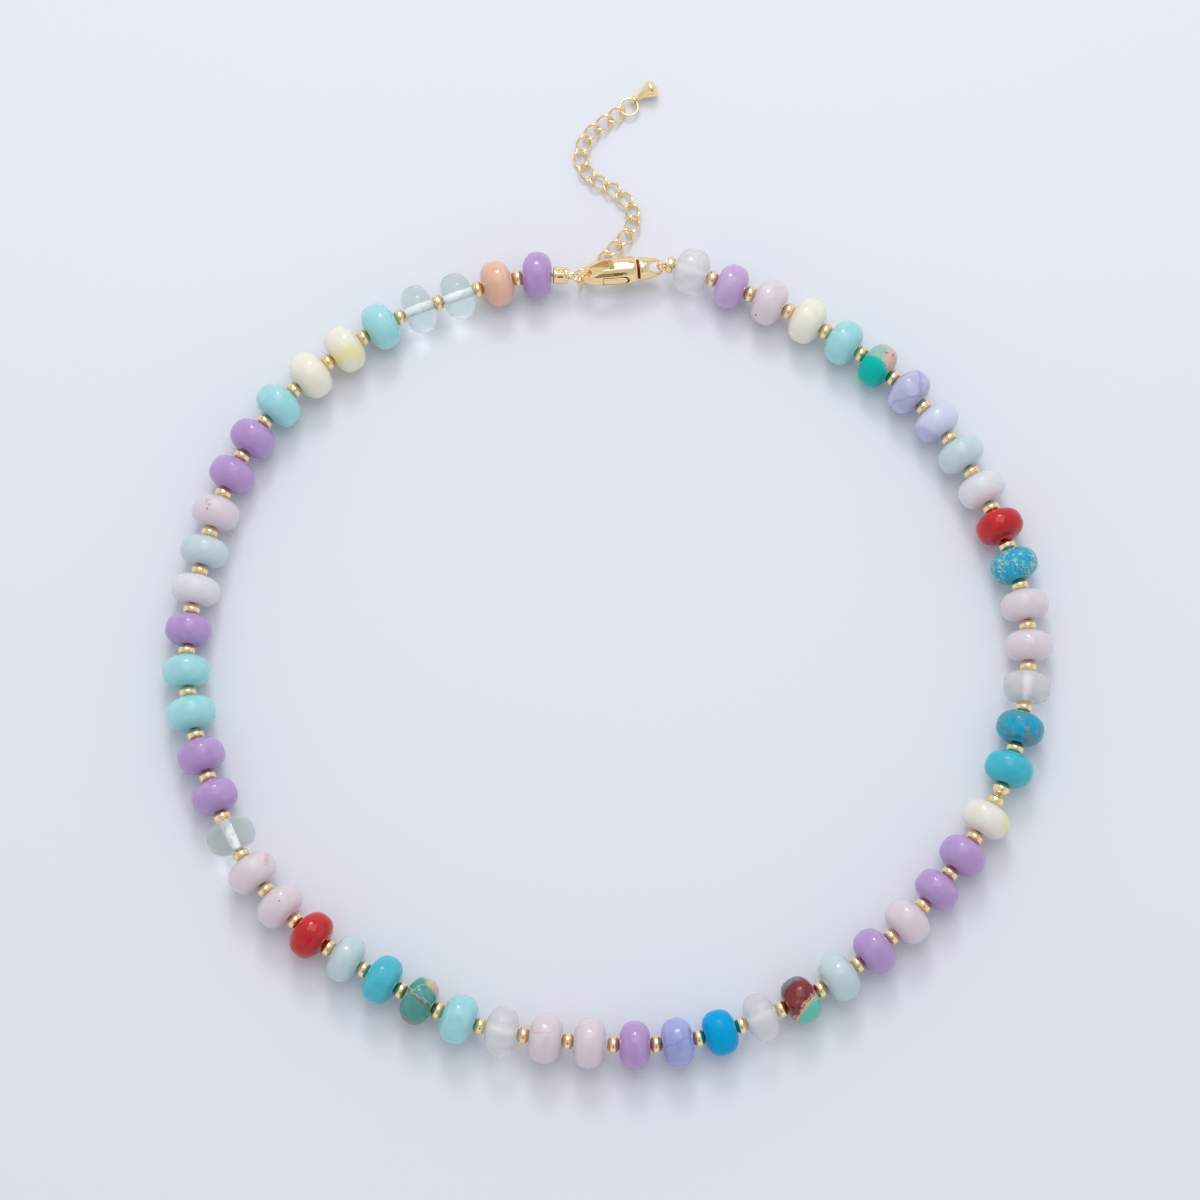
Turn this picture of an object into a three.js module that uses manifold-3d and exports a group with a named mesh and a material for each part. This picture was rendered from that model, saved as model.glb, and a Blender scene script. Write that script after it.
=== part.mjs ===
// Beaded necklace lying on a table: rondelle stones with round metal spacers on a
// closed loop of thread, a swivel clasp, and a short extender chain with a drop.
// Units are millimetres, +Z is up and the table is the plane z = 0.

import * as THREE from 'three';
import { mergeVertices } from 'three/addons/utils/BufferGeometryUtils.js';
import Module from 'manifold-3d';

const wasm = await Module();
wasm.setup();

// Stones and spacers
const STONE_DIAMETER = 8;
const STONE_THICKNESS = 5.22;
const SPACER_DIAMETER = 2.9;
const SPACER_LENGTH = 1.92;
const BEAD_SIDES = 12;
const THREAD_DIAMETER = 0.6;
const LOOP_THREAD = 0.36;
const LOOP_PLAY = 0.36;
const LOOP_ROOT = 0.2;
const THREAD_IN_CRIMP = 0.78;
const DOUBLE_SPACER_AFTER = 17;
const DOUBLE_SPACER_GAP = 0.3;
const STRAND_SPLIT_AFTER = 28;
const FACE_GAP = 0.3;
const RUNNING_GAP = 0.15;

// Crimps at the two ends of the string
const CRIMP_DIAMETER = 3;
const CRIMP_BORE = 2.1;
const CRIMP_BEVEL = 0.25;
const RIGHT_CRIMP_LENGTH = 1.4;
const LEFT_CRIMP_LENGTH = 2.6;
const CRIMP_SIDES = 12;

// Extender chain
const LINK_COUNT = 16;
const LINK_LENGTH = 3.86;
const LINK_WIDTH = 2.75;
const LINK_WIRE = 0.46;
const LINK_TWIST = 90;
const LINK_STEPS = 12;
const WIRE_SIDES = 5;
const LINK_PLAY = 0.2;
const CHAIN_HEIGHT = 1.06;
const CHAIN_START_ANGLE = -100;
const ROLL_CARRIED = [1, 0.8, 0.5, 0.2];
const END_ROLLS = [25, 10];

// Rings
const CLASP_RING_DIAMETER = 3.45;
const CLASP_RING_WIRE = 0.45;
const CLASP_RING_CENTRE = 0.45;
const CLASP_RING_DROP = 0.15;
const CHAIN_RING_DIAMETER = 3.6;
const CHAIN_RING_WIRE = 0.46;
const RING_STEPS = 16;

// Drop on the free end of the chain
const DROP_BALL = 1.5;
const DROP_HOLE = 0.96;
const DROP_HOLE_INWARDS = 0.07;
const DROP_NECK = 0.6;
const DROP_DIAMETER = 3.1;
const DROP_LENGTH = 4.6;
const DROP_SIDES = 12;
const DROP_ANGLE_ON_RING = 57;
const DROP_HEADING = 31;

// Clasp
const CLASP_NOSE = new THREE.Vector3(-4.75, 49.3, 4.4);
const CLASP_HEADING = 7.5;
const CLASP_PITCH = 1.6;
const HOOK_ROLL = 24;
const TAIL_ROLL = -15;
const CLASP_DIAMETER = 4.8;
const HOOK_LENGTH = 9.75;
const HOOK_SIDES = 16;
const NOSE_THICKNESS = 1.1;
const NOSE_WALL = 1.3;
const ARM_WALL = 1.1;
const MOUTH_TO_BACK = 3.95;
const TIP_END = 3.75;
const MOUTH_BULGE = 0.3;
const MOUTH_SHOULDER = 0.6;
const FULL_ROUND_TO_BACK = 2.5;
const GATE_WIDTH = 1.3;
const GATE_PIVOT_TO_BACK = 2.45;
const GATE_PIVOT_Y = -1.4;
const GATE_HEEL = 0.62;
const GATE_SWING = 28;
const GATE_PIN = 0.6;
const GATE_PIN_LENGTH = 2.3;
const SWIVEL_GAP = 0.45;
const POST_DIAMETER = 1.6;
const POST_HEAD_DIAMETER = 2.4;
const POST_HEAD_THICKNESS = 0.4;
const POST_WALL = 0.5;
const TAIL_LENGTH = 4.2;
const TAIL_SIDES = 12;
const EYE_THICKNESS = 0.8;
const EYE_DIAMETER = 1.5;
const EYE_STRETCH = 0.2;
const EYE_WALL = 0.35;
const TAIL_CHEEK = 0.6;
const CUT_MARGIN = 1;
const JOIN_OVERLAP = 0.1;

// Places along the clasp that follow from the length of its hook
const MOUTH_END = HOOK_LENGTH - MOUTH_TO_BACK;
const FULL_ROUND_FROM = HOOK_LENGTH - FULL_ROUND_TO_BACK;
const GATE_PIVOT_X = HOOK_LENGTH - GATE_PIVOT_TO_BACK;
const CLASP_LENGTH = HOOK_LENGTH + SWIVEL_GAP + TAIL_LENGTH;

// Places chosen along the string, from the clasp's tail round to its nose. It starts
// just beyond the end of the tail.
const STRING_FROM_TAIL = new THREE.Vector3(0.479, 0.221, 0);
const STRING_ROUTE = [
  [14.4, 50.2], [34.1, 41.2], [51.1, 28.4], [62.8, 11.2], [69.3, -8.7],
  [69.2, -22.8], [65.8, -36.6], [61.7, -45.1], [53.4, -56.7], [43.1, -66.7], [31.1, -74.6],
  [11.3, -81.4], [-10.2, -80.8], [-24.1, -77.7], [-36.5, -71.3], [-48.0, -64.1],
  [-57.7, -54.0], [-64.4, -41.3], [-69.7, -20.2], [-67.3, 0.5], [-63.1, 14.0],
  [-55.5, 26.3], [-38.6, 40.2], [-25.5, 45.8], [-11.9, 49.7], [-6.7, 49.3],
];

// Places chosen along the chain after it comes out from under the clasp
const CHAIN_UNDER_HOOK = [-2.9, 51.1, 1.15];
const CHAIN_ROUTE = [
  [-0.3, 54.0], [3.6, 58.2], [4.75, 60.7], [4.15, 63.2], [0.7, 66.6], [-2.2, 68.0],
  [-4.0, 69.8], [-4.8, 72.3], [-4.2, 74.9], [-2.6, 77.2], [2.1, 80.5], [6.3, 84.0],
];

// One row a stone: its shares of the nominal thickness and diameter, and how far it
// has turned on the thread, in degrees
const STONES = [
  { thick: 1.08, wide: 1.01, turn: 2 },
  { thick: 0.97, wide: 0.97, turn: 0 },
  { thick: 1.02, wide: 1.00, turn: 0 },
  { thick: 1.02, wide: 1.00, turn: 0 },
  { thick: 1.01, wide: 0.98, turn: 0 },
  { thick: 0.95, wide: 0.97, turn: 0 },
  { thick: 1.01, wide: 1.01, turn: 2 },
  { thick: 0.97, wide: 0.98, turn: 0 },
  { thick: 0.96, wide: 1.02, turn: 0 },
  { thick: 0.98, wide: 1.03, turn: 0 },
  { thick: 0.99, wide: 1.01, turn: 0 },
  { thick: 1.01, wide: 1.00, turn: 4 },
  { thick: 0.98, wide: 1.01, turn: 0 },
  { thick: 0.98, wide: 1.00, turn: 0 },
  { thick: 0.98, wide: 1.00, turn: 0 },
  { thick: 1.00, wide: 1.00, turn: -3 },
  { thick: 1.02, wide: 1.01, turn: 0 },
  { thick: 1.00, wide: 1.01, turn: 0 },
  { thick: 1.03, wide: 0.99, turn: 0 },
  { thick: 0.97, wide: 0.95, turn: 0 },
  { thick: 1.05, wide: 1.00, turn: 0 },
  { thick: 1.01, wide: 0.99, turn: 0 },
  { thick: 1.04, wide: 1.01, turn: 0 },
  { thick: 1.01, wide: 0.98, turn: 2 },
  { thick: 0.96, wide: 1.01, turn: 0 },
  { thick: 1.01, wide: 0.94, turn: 0 },
  { thick: 0.97, wide: 0.99, turn: 0 },
  { thick: 0.96, wide: 0.98, turn: 0 },
  { thick: 0.99, wide: 1.03, turn: 0 },
  { thick: 1.02, wide: 1.03, turn: 0 },
  { thick: 1.00, wide: 1.01, turn: 0 },
  { thick: 1.03, wide: 1.03, turn: 0 },
  { thick: 0.95, wide: 1.00, turn: 0 },
  { thick: 0.97, wide: 1.03, turn: 0 },
  { thick: 0.93, wide: 0.99, turn: 0 },
  { thick: 0.99, wide: 1.02, turn: 0 },
  { thick: 1.00, wide: 1.02, turn: 0 },
  { thick: 1.00, wide: 1.04, turn: 0 },
  { thick: 1.00, wide: 1.02, turn: 0 },
  { thick: 1.02, wide: 0.97, turn: 3 },
  { thick: 1.04, wide: 0.99, turn: 0 },
  { thick: 1.05, wide: 1.03, turn: 0 },
  { thick: 1.01, wide: 1.00, turn: 0 },
  { thick: 0.98, wide: 0.98, turn: 0 },
  { thick: 0.94, wide: 1.03, turn: 0 },
  { thick: 0.93, wide: 1.01, turn: 0 },
  { thick: 1.01, wide: 1.01, turn: 0 },
  { thick: 1.01, wide: 0.98, turn: -3 },
  { thick: 1.01, wide: 0.98, turn: 0 },
  { thick: 1.04, wide: 1.02, turn: 0 },
  { thick: 1.08, wide: 1.04, turn: 0 },
  { thick: 1.04, wide: 1.03, turn: 0 },
  { thick: 1.02, wide: 1.02, turn: 0 },
  { thick: 0.97, wide: 1.04, turn: 0 },
  { thick: 1.00, wide: 0.99, turn: 0 },
  { thick: 0.99, wide: 0.98, turn: 0 },
  { thick: 0.95, wide: 0.98, turn: -8 },
];

// Sections along a bead, from its middle: shares of half its length and of its radius
const STONE_SECTIONS = [
  { along: -0.9, radius: 0.62 }, { along: -0.36, radius: 1 },
  { along: 0.36, radius: 1 }, { along: 0.9, radius: 0.62 },
];
const SPACER_SECTIONS = [
  { along: -1, radius: 0.58 }, { along: -0.45, radius: 1 },
  { along: 0.45, radius: 1 }, { along: 1, radius: 0.58 },
];

// Sections of the turned clasp body and tail: shares of the length and the radius
const HOOK_SECTIONS = [
  { along: 0.015, radius: 0.3 }, { along: 0.05, radius: 0.5 }, { along: 0.11, radius: 0.68 },
  { along: 0.22, radius: 0.83 }, { along: 0.42, radius: 0.93 }, { along: 0.62, radius: 1 },
  { along: 0.86, radius: 1 }, { along: 0.97, radius: 0.94 }, { along: 1, radius: 0.88 },
];
const TAIL_SECTIONS = [
  { along: 0, radius: 0.8 }, { along: 0.06, radius: 0.86 }, { along: 0.42, radius: 0.77 },
  { along: 0.72, radius: 0.66 }, { along: 0.88, radius: 0.52 }, { along: 0.96, radius: 0.36 },
  { along: 1, radius: 0.2 },
];

// Sections of the drop beyond its ball: shares of its length and of its radius
const DROP_SECTIONS = [
  { along: 0.22, radius: 0.27 }, { along: 0.48, radius: 0.6 }, { along: 0.68, radius: 0.92 },
  { along: 0.76, radius: 1 }, { along: 0.86, radius: 0.92 }, { along: 0.95, radius: 0.6 },
];

// The outline of a thread loop from its root to its tip: shares of its length and half width
const LOOP_MIDDLE = 0.6;
const LOOP_SHAPE = [
  { along: 0, width: 0 }, { along: 0.2, width: 0.3 }, { along: 0.5, width: 0.72 },
  { along: 0.8, width: 0.95 }, { along: 0.97, width: 0.6 }, { along: 1, width: 0 },
];

const UP = new THREE.Vector3(0, 0, 1);
const gold = new THREE.MeshStandardMaterial({ color: 0xe0b872, roughness: 0.22, metalness: 1 });
const mixedStone = new THREE.MeshStandardMaterial({ color: 0xb9b6d4, roughness: 0.25, metalness: 0 });
const turquoiseStone = new THREE.MeshStandardMaterial({ color: 0x8fc4cc, roughness: 0.25, metalness: 0 });

const radians = THREE.MathUtils.degToRad;

// Solids and meshes

function closedGeometry(positions, triangles) {
  const geometry = new THREE.BufferGeometry();
  geometry.setAttribute('position', new THREE.Float32BufferAttribute(positions, 3));
  geometry.setIndex(triangles);
  return geometry;
}

function toSolid(geometry) {
  const bare = geometry.clone();
  bare.deleteAttribute('normal');
  bare.deleteAttribute('uv');
  const merged = mergeVertices(bare, 1e-4);
  const vertProperties = new Float32Array(merged.attributes.position.array);
  const triVerts = new Uint32Array(merged.index.array);
  return new wasm.Manifold(new wasm.Mesh({ numProp: 3, vertProperties, triVerts }));
}

function toMesh(name, solid, material) {
  const { numProp, vertProperties, triVerts } = solid.getMesh();
  const positions = [];
  for (let start = 0; start < vertProperties.length; start += numProp) {
    positions.push(vertProperties[start], vertProperties[start + 1], vertProperties[start + 2]);
  }
  const geometry = closedGeometry(positions, Array.from(triVerts)).toNonIndexed();
  geometry.computeVertexNormals();
  const mesh = new THREE.Mesh(geometry, material);
  mesh.name = name;
  return mesh;
}

// A skin over rings of points. Each ring runs anticlockwise seen from the far end.
// With looped set the last ring joins the first, and otherwise both ends are capped.
function skin(rings, looped) {
  const sides = rings[0].length;
  const positions = rings.flat().flatMap((point) => point.toArray());
  const triangles = [];
  const bands = looped ? rings.length : rings.length - 1;
  for (let band = 0; band < bands; band += 1) {
    const near = band * sides;
    const far = ((band + 1) % rings.length) * sides;
    for (let side = 0; side < sides; side += 1) {
      const next = (side + 1) % sides;
      triangles.push(near + side, near + next, far + next);
      triangles.push(near + side, far + next, far + side);
    }
  }
  if (!looped) {
    const last = (rings.length - 1) * sides;
    for (let side = 1; side < sides - 1; side += 1) {
      triangles.push(0, side + 1, side);
      triangles.push(last, last + side, last + side + 1);
    }
  }
  return closedGeometry(positions, triangles);
}

// A ring of points round a line, with a flat side below: the radius is to the flats
function ringAcross(centre, along, radius, sides) {
  const across = new THREE.Vector3().crossVectors(UP, along).normalize();
  const above = new THREE.Vector3().crossVectors(along, across).normalize();
  const corner = radius / Math.cos(Math.PI / sides);
  return Array.from({ length: sides }, (_, side) => {
    const angle = ((side + 0.5) / sides) * 2 * Math.PI - Math.PI / 2;
    return centre.clone()
      .addScaledVector(across, corner * Math.cos(angle))
      .addScaledVector(above, corner * Math.sin(angle));
  });
}

// A wire bent along a closed curve given by a function of the turn from 0 to 1.
// Its sections stay square to the curve, with one axis away from the middle.
function closedWire(pointAt, middle, wire, steps) {
  const rings = [];
  for (let step = 0; step < steps; step += 1) {
    const turn = step / steps;
    const point = pointAt(turn);
    const tangent = pointAt(turn + 0.5 / steps).sub(pointAt(turn - 0.5 / steps)).normalize();
    const outward = point.clone().sub(middle);
    outward.addScaledVector(tangent, -outward.dot(tangent)).normalize();
    const third = new THREE.Vector3().crossVectors(tangent, outward);
    rings.push(Array.from({ length: WIRE_SIDES }, (_, side) => {
      const angle = ((side + 0.5) / WIRE_SIDES) * 2 * Math.PI;
      return point.clone()
        .addScaledVector(outward, (wire / 2) * Math.cos(angle))
        .addScaledVector(third, (wire / 2) * Math.sin(angle));
    }));
  }
  return skin(rings, true);
}

// A solid turned about the X axis, from [along, radius] pairs
function turned(profile, sides) {
  const points = profile.map(([along, radius]) => new THREE.Vector2(radius, along));
  return toSolid(new THREE.LatheGeometry(points, sides).rotateZ(-Math.PI / 2));
}

function turnedBar(start, end, radius, sides) {
  return turned([[start, 0], [start, radius], [end, radius], [end, 0]], sides);
}

// A flat outline in X and Y, made thick evenly to both sides of z = 0
function plate(outline, thickness) {
  const shape = outline instanceof THREE.Shape ? outline : new THREE.Shape(outline);
  const options = { depth: thickness, bevelEnabled: false, curveSegments: 6 };
  const solid = toSolid(new THREE.ExtrudeGeometry(shape, options).translate(0, 0, -thickness / 2));
  return solid;
}

function flatPoints(pairs) {
  return pairs.map(([x, y]) => new THREE.Vector2(x, y));
}

// The string: where each bead lies

function catmullRom(points) {
  const curve = new THREE.CatmullRomCurve3(points);
  curve.arcLengthDivisions = 4000;
  return curve;
}

// The beads in order from the clasp's tail, each with its length and the bare thread
// that follows it
function beadList() {
  const beads = [{ kind: 'crimp', length: RIGHT_CRIMP_LENGTH, bare: FACE_GAP }];
  STONES.forEach((stone, index) => {
    const number = index + 1;
    beads.push({
      kind: 'stone', number, length: STONE_THICKNESS * stone.thick, bare: 0,
      diameter: STONE_DIAMETER * stone.wide, turn: stone.turn,
    });
    const spacer = { kind: 'spacer', number, length: SPACER_LENGTH, diameter: SPACER_DIAMETER, bare: 0 };
    if (number === DOUBLE_SPACER_AFTER) {
      beads.push({ ...spacer, bare: DOUBLE_SPACER_GAP });
    }
    if (number < STONES.length) {
      const splits = number === STRAND_SPLIT_AFTER;
      beads.push({ ...spacer, bare: splits ? FACE_GAP : 0 });
    }
  });
  beads.at(-1).bare = FACE_GAP;
  beads.push({ kind: 'crimp', length: LEFT_CRIMP_LENGTH, bare: 0 });
  return beads;
}

// A crimp sits square on the thread that leaves the end stone
function lineUp(crimp, stone, way) {
  const reach = stone.length / 2 + FACE_GAP + crimp.length / 2;
  crimp.along = stone.along.clone();
  crimp.centre = stone.centre.clone().addScaledVector(stone.along, way * reach);
}

// The drawn route is scaled about the clasp until the beads just fill it
function threadBeads() {
  const beads = beadList();
  const needed = beads.reduce((sum, bead) => sum + bead.length + bead.bare, 0);
  const axisHeight = STONE_DIAMETER / 2;
  const start = new THREE.Vector3(CLASP_LENGTH, 0, 0).applyMatrix4(claspMatrix(TAIL_ROLL)).add(STRING_FROM_TAIL);
  const drawn = [start.setZ(0), ...STRING_ROUTE.map(([x, y]) => new THREE.Vector3(x, y, 0))];
  const middle = drawn[0].clone().lerp(drawn.at(-1), 0.5);
  const scale = needed / catmullRom(drawn).getLength();
  const points = drawn.map((point) => point.sub(middle).multiplyScalar(scale).add(middle));
  const route = catmullRom(points);
  let reached = 0;
  for (const bead of beads) {
    const share = (reached + bead.length / 2) / needed;
    bead.centre = route.getPointAt(share);
    bead.along = route.getTangentAt(share);
    if (bead.kind === 'stone') {
      bead.centre.z = bead.diameter / 2;
      bead.along.applyAxisAngle(UP, radians(bead.turn));
    } else {
      bead.centre.z = axisHeight;
    }
    reached += bead.length + bead.bare;
  }
  lineUp(beads[0], beads[1], -1);
  lineUp(beads.at(-1), beads.at(-2), 1);
  return beads;
}

function beadRings(bead) {
  const sections = bead.kind === 'stone' ? STONE_SECTIONS : SPACER_SECTIONS;
  return sections.map(({ along, radius }) => {
    const centre = bead.centre.clone().addScaledVector(bead.along, (along * bead.length) / 2);
    return ringAcross(centre, bead.along, (radius * bead.diameter) / 2, BEAD_SIDES);
  });
}

function threadRing(bead, offset) {
  const centre = bead.centre.clone().addScaledVector(bead.along, offset);
  return ringAcross(centre, bead.along, THREAD_DIAMETER / 2, BEAD_SIDES);
}

// One half of the string as a single skin, with thread where a bead leaves it bare
function strandSolid(beads, threadBefore, threadAfter) {
  const rings = [threadRing(beads[0], -beads[0].length / 2 - threadBefore)];
  if (threadBefore > 0) {
    rings.push(threadRing(beads[0], -beads[0].length / 2));
  }
  beads.forEach((bead, index) => {
    rings.push(...beadRings(bead));
    const following = beads[index + 1];
    if (following && bead.bare > 0) {
      rings.push(threadRing(bead, bead.length / 2));
      rings.push(threadRing(following, -following.length / 2));
    }
  });
  if (threadAfter > 0) {
    rings.push(threadRing(beads.at(-1), beads.at(-1).length / 2));
  }
  rings.push(threadRing(beads.at(-1), beads.at(-1).length / 2 + threadAfter));
  return toSolid(skin(rings, false));
}

// A narrow closed loop of thread from its root in a crimp to its far tip
function threadLoop(root, tip, sideways, halfWidth) {
  const along = tip.clone().sub(root);
  const side = sideways.clone().addScaledVector(along, -sideways.dot(along) / along.lengthSq()).normalize();
  const place = (share, width) => root.clone().addScaledVector(along, share).addScaledVector(side, width * halfWidth);
  const there = LOOP_SHAPE.map((row) => place(row.along, row.width));
  const back = LOOP_SHAPE.slice(1, -1).reverse().map((row) => place(row.along, -row.width));
  const curve = new THREE.CatmullRomCurve3([...there, ...back], true);
  const pointAt = (turn) => curve.getPoint((turn + 1) % 1);
  return toSolid(closedWire(pointAt, place(LOOP_MIDDLE, 0), LOOP_THREAD, RING_STEPS));
}

function crimpMesh(name, bead) {
  const half = bead.length / 2;
  const outer = CRIMP_DIAMETER / 2;
  const tube = turned([
    [-half, 0], [-half, outer - CRIMP_BEVEL], [-half + CRIMP_BEVEL, outer],
    [half - CRIMP_BEVEL, outer], [half, outer - CRIMP_BEVEL], [half, 0],
  ], CRIMP_SIDES);
  const bore = turnedBar(-half - CUT_MARGIN, half + CUT_MARGIN, CRIMP_BORE / 2, CRIMP_SIDES);
  const mesh = toMesh(name, tube.subtract(bore), gold);
  mesh.position.copy(bead.centre);
  mesh.quaternion.setFromUnitVectors(new THREE.Vector3(1, 0, 0), bead.along);
  return mesh;
}

// The clasp, in a frame of its own: x from the nose to the tail, the gate at -y

function claspMatrix(roll) {
  const turn = new THREE.Matrix4().makeRotationZ(radians(CLASP_HEADING))
    .multiply(new THREE.Matrix4().makeRotationY(radians(CLASP_PITCH)))
    .multiply(new THREE.Matrix4().makeRotationX(-radians(roll)));
  return turn.setPosition(CLASP_NOSE);
}

function claspGroup(roll) {
  const frame = new THREE.Group();
  frame.applyMatrix4(claspMatrix(roll));
  return frame;
}

function torpedo() {
  const radius = CLASP_DIAMETER / 2;
  const profile = HOOK_SECTIONS.map((row) => [row.along * HOOK_LENGTH, row.radius * radius]);
  return turned([[0, 0], ...profile, [HOOK_LENGTH, 0]], HOOK_SIDES);
}

// The nose is thin and the body grows to its full roundness behind the mouth
function flattening() {
  const nose = NOSE_THICKNESS / 2;
  const full = CLASP_DIAMETER / 2 + CUT_MARGIN;
  const side = flatPoints([
    [-CUT_MARGIN, -nose], [NOSE_WALL, -nose], [FULL_ROUND_FROM, -full], [HOOK_LENGTH + CUT_MARGIN, -full],
    [HOOK_LENGTH + CUT_MARGIN, full], [FULL_ROUND_FROM, full], [NOSE_WALL, nose], [-CUT_MARGIN, nose],
  ]);
  return plate(side, CLASP_DIAMETER + 2 * CUT_MARGIN).rotate([90, 0, 0]);
}

function hookHalfWidth(x) {
  const rows = HOOK_SECTIONS.map((row) => [row.along * HOOK_LENGTH, row.radius * CLASP_DIAMETER / 2]);
  const next = rows.findIndex(([along]) => along >= x);
  const [x0, r0] = rows[next - 1];
  const [x1, r1] = rows[next];
  return r0 + ((r1 - r0) * (x - x0)) / (x1 - x0);
}

// The mouth of the hook, from the inside of the nose to the root of the gate
function mouth() {
  const middle = (NOSE_WALL + MOUTH_END) / 2;
  const inner = (x) => hookHalfWidth(x) - ARM_WALL;
  const outline = new THREE.Shape();
  outline.moveTo(NOSE_WALL, 0);
  outline.quadraticCurveTo(NOSE_WALL, -inner(NOSE_WALL + ARM_WALL), NOSE_WALL + ARM_WALL, -inner(NOSE_WALL + ARM_WALL));
  outline.lineTo(middle, -inner(middle));
  outline.lineTo(MOUTH_END, -inner(MOUTH_END));
  outline.quadraticCurveTo(MOUTH_END + MOUTH_BULGE, 0, MOUTH_END - MOUTH_SHOULDER, inner(MOUTH_END) * 0.75);
  outline.lineTo(middle, inner(middle));
  outline.lineTo(NOSE_WALL + ARM_WALL, inner(NOSE_WALL + ARM_WALL));
  outline.quadraticCurveTo(NOSE_WALL, inner(NOSE_WALL + ARM_WALL), NOSE_WALL, 0);
  return plate(outline, CLASP_DIAMETER + 2 * CUT_MARGIN);
}

// The gate seen along its pivot: a straight bar with a round heel
function gateSide(clearance) {
  const front = TIP_END + RUNNING_GAP - clearance;
  const heel = GATE_HEEL + clearance;
  const inside = -(hookHalfWidth(TIP_END) - ARM_WALL) + clearance;
  const outside = -CLASP_DIAMETER;
  const outline = new THREE.Shape();
  outline.moveTo(front, outside);
  outline.lineTo(GATE_PIVOT_X + heel, outside);
  outline.lineTo(GATE_PIVOT_X + heel, GATE_PIVOT_Y);
  outline.absarc(GATE_PIVOT_X, GATE_PIVOT_Y, heel, 0, Math.PI / 2, false);
  outline.lineTo(front, inside);
  outline.closePath();
  return plate(outline, CLASP_DIAMETER * 2);
}

// The gate seen from outside: a tongue with a round end
function gateTongue(clearance) {
  const half = GATE_WIDTH / 2 + clearance;
  const front = TIP_END + RUNNING_GAP - clearance;
  const outline = new THREE.Shape();
  outline.moveTo(front, -half);
  outline.lineTo(GATE_PIVOT_X, -half);
  outline.absarc(GATE_PIVOT_X, 0, half, -Math.PI / 2, Math.PI / 2, false);
  outline.lineTo(front, half);
  outline.closePath();
  return plate(outline, CLASP_DIAMETER * 2).rotate([90, 0, 0]);
}

// Room for the gate to swing inwards about its pivot
function gateSweep() {
  const width = GATE_WIDTH + 2 * RUNNING_GAP;
  const inner = hookHalfWidth(TIP_END) - ARM_WALL;
  const reach = MOUTH_END - GATE_PIVOT_X;
  const heel = GATE_HEEL + RUNNING_GAP;
  const rise = -reach * Math.tan(radians(GATE_SWING));
  return plate(flatPoints([
    [GATE_PIVOT_X, GATE_PIVOT_Y - heel], [GATE_PIVOT_X, GATE_PIVOT_Y + heel],
    [GATE_PIVOT_X + reach, GATE_PIVOT_Y + heel / Math.cos(radians(GATE_SWING)) + rise],
    [GATE_PIVOT_X + reach - 0.5, -inner],
    [GATE_PIVOT_X + reach - 0.5, GATE_PIVOT_Y - heel],
  ]), width);
}

function pivotBar(diameter, length) {
  return turnedBar(-length / 2, length / 2, diameter / 2, 12)
    .rotate([0, 90, 0]).translate([GATE_PIVOT_X, GATE_PIVOT_Y, 0]);
}

function hookSolid() {
  const chamberEnd = HOOK_LENGTH - POST_WALL;
  const chamberStart = chamberEnd - POST_HEAD_THICKNESS - 2 * RUNNING_GAP;
  const chamber = turnedBar(chamberStart, chamberEnd, POST_HEAD_DIAMETER / 2 + RUNNING_GAP, TAIL_SIDES);
  const neck = turnedBar(chamberEnd - JOIN_OVERLAP, HOOK_LENGTH + CUT_MARGIN, POST_DIAMETER / 2 + RUNNING_GAP, TAIL_SIDES);
  const pocket = gateSide(RUNNING_GAP).intersect(gateTongue(RUNNING_GAP));
  return torpedo().intersect(flattening())
    .subtract(mouth())
    .subtract(pocket)
    .subtract(gateSweep())
    .subtract(pivotBar(GATE_PIN + 2 * RUNNING_GAP, GATE_PIN_LENGTH + 2 * RUNNING_GAP))
    .subtract(chamber)
    .subtract(neck);
}

function gateSolid() {
  return torpedo().intersect(gateSide(0)).intersect(gateTongue(0))
    .add(pivotBar(GATE_PIN, GATE_PIN_LENGTH));
}

function tailSolid() {
  const front = HOOK_LENGTH + SWIVEL_GAP;
  const end = front + TAIL_LENGTH;
  const profile = TAIL_SECTIONS.map((row) => [front + row.along * TAIL_LENGTH, row.radius * CLASP_DIAMETER / 2]);
  const body = turned([[front, 0], ...profile, [end, 0]], TAIL_SIDES);
  const eyeMiddle = end - EYE_WALL - (EYE_DIAMETER + EYE_STRETCH) / 2;
  const full = CLASP_DIAMETER / 2;
  const eye = EYE_THICKNESS / 2;
  const flatStart = eyeMiddle - EYE_DIAMETER / 2 - EYE_STRETCH;
  const side = flatPoints([
    [front - CUT_MARGIN, -full], [front + TAIL_CHEEK, -full], [flatStart, -eye], [end + CUT_MARGIN, -eye],
    [end + CUT_MARGIN, eye], [flatStart, eye], [front + TAIL_CHEEK, full], [front - CUT_MARGIN, full],
  ]);
  const slab = plate(side, CLASP_DIAMETER + 2 * CUT_MARGIN).rotate([90, 0, 0]);
  const hole = new THREE.Shape();
  hole.absarc(eyeMiddle - EYE_STRETCH / 2, 0, EYE_DIAMETER / 2, Math.PI / 2, (3 * Math.PI) / 2, false);
  hole.absarc(eyeMiddle + EYE_STRETCH / 2, 0, EYE_DIAMETER / 2, -Math.PI / 2, Math.PI / 2, false);
  hole.closePath();
  const headEnd = HOOK_LENGTH - POST_WALL - RUNNING_GAP;
  const post = turnedBar(headEnd - JOIN_OVERLAP, front + JOIN_OVERLAP, POST_DIAMETER / 2, TAIL_SIDES);
  const head = turnedBar(headEnd - POST_HEAD_THICKNESS, headEnd, POST_HEAD_DIAMETER / 2, TAIL_SIDES);
  return body.intersect(slab).subtract(plate(hole, CLASP_DIAMETER)).add(post).add(head);
}

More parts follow.
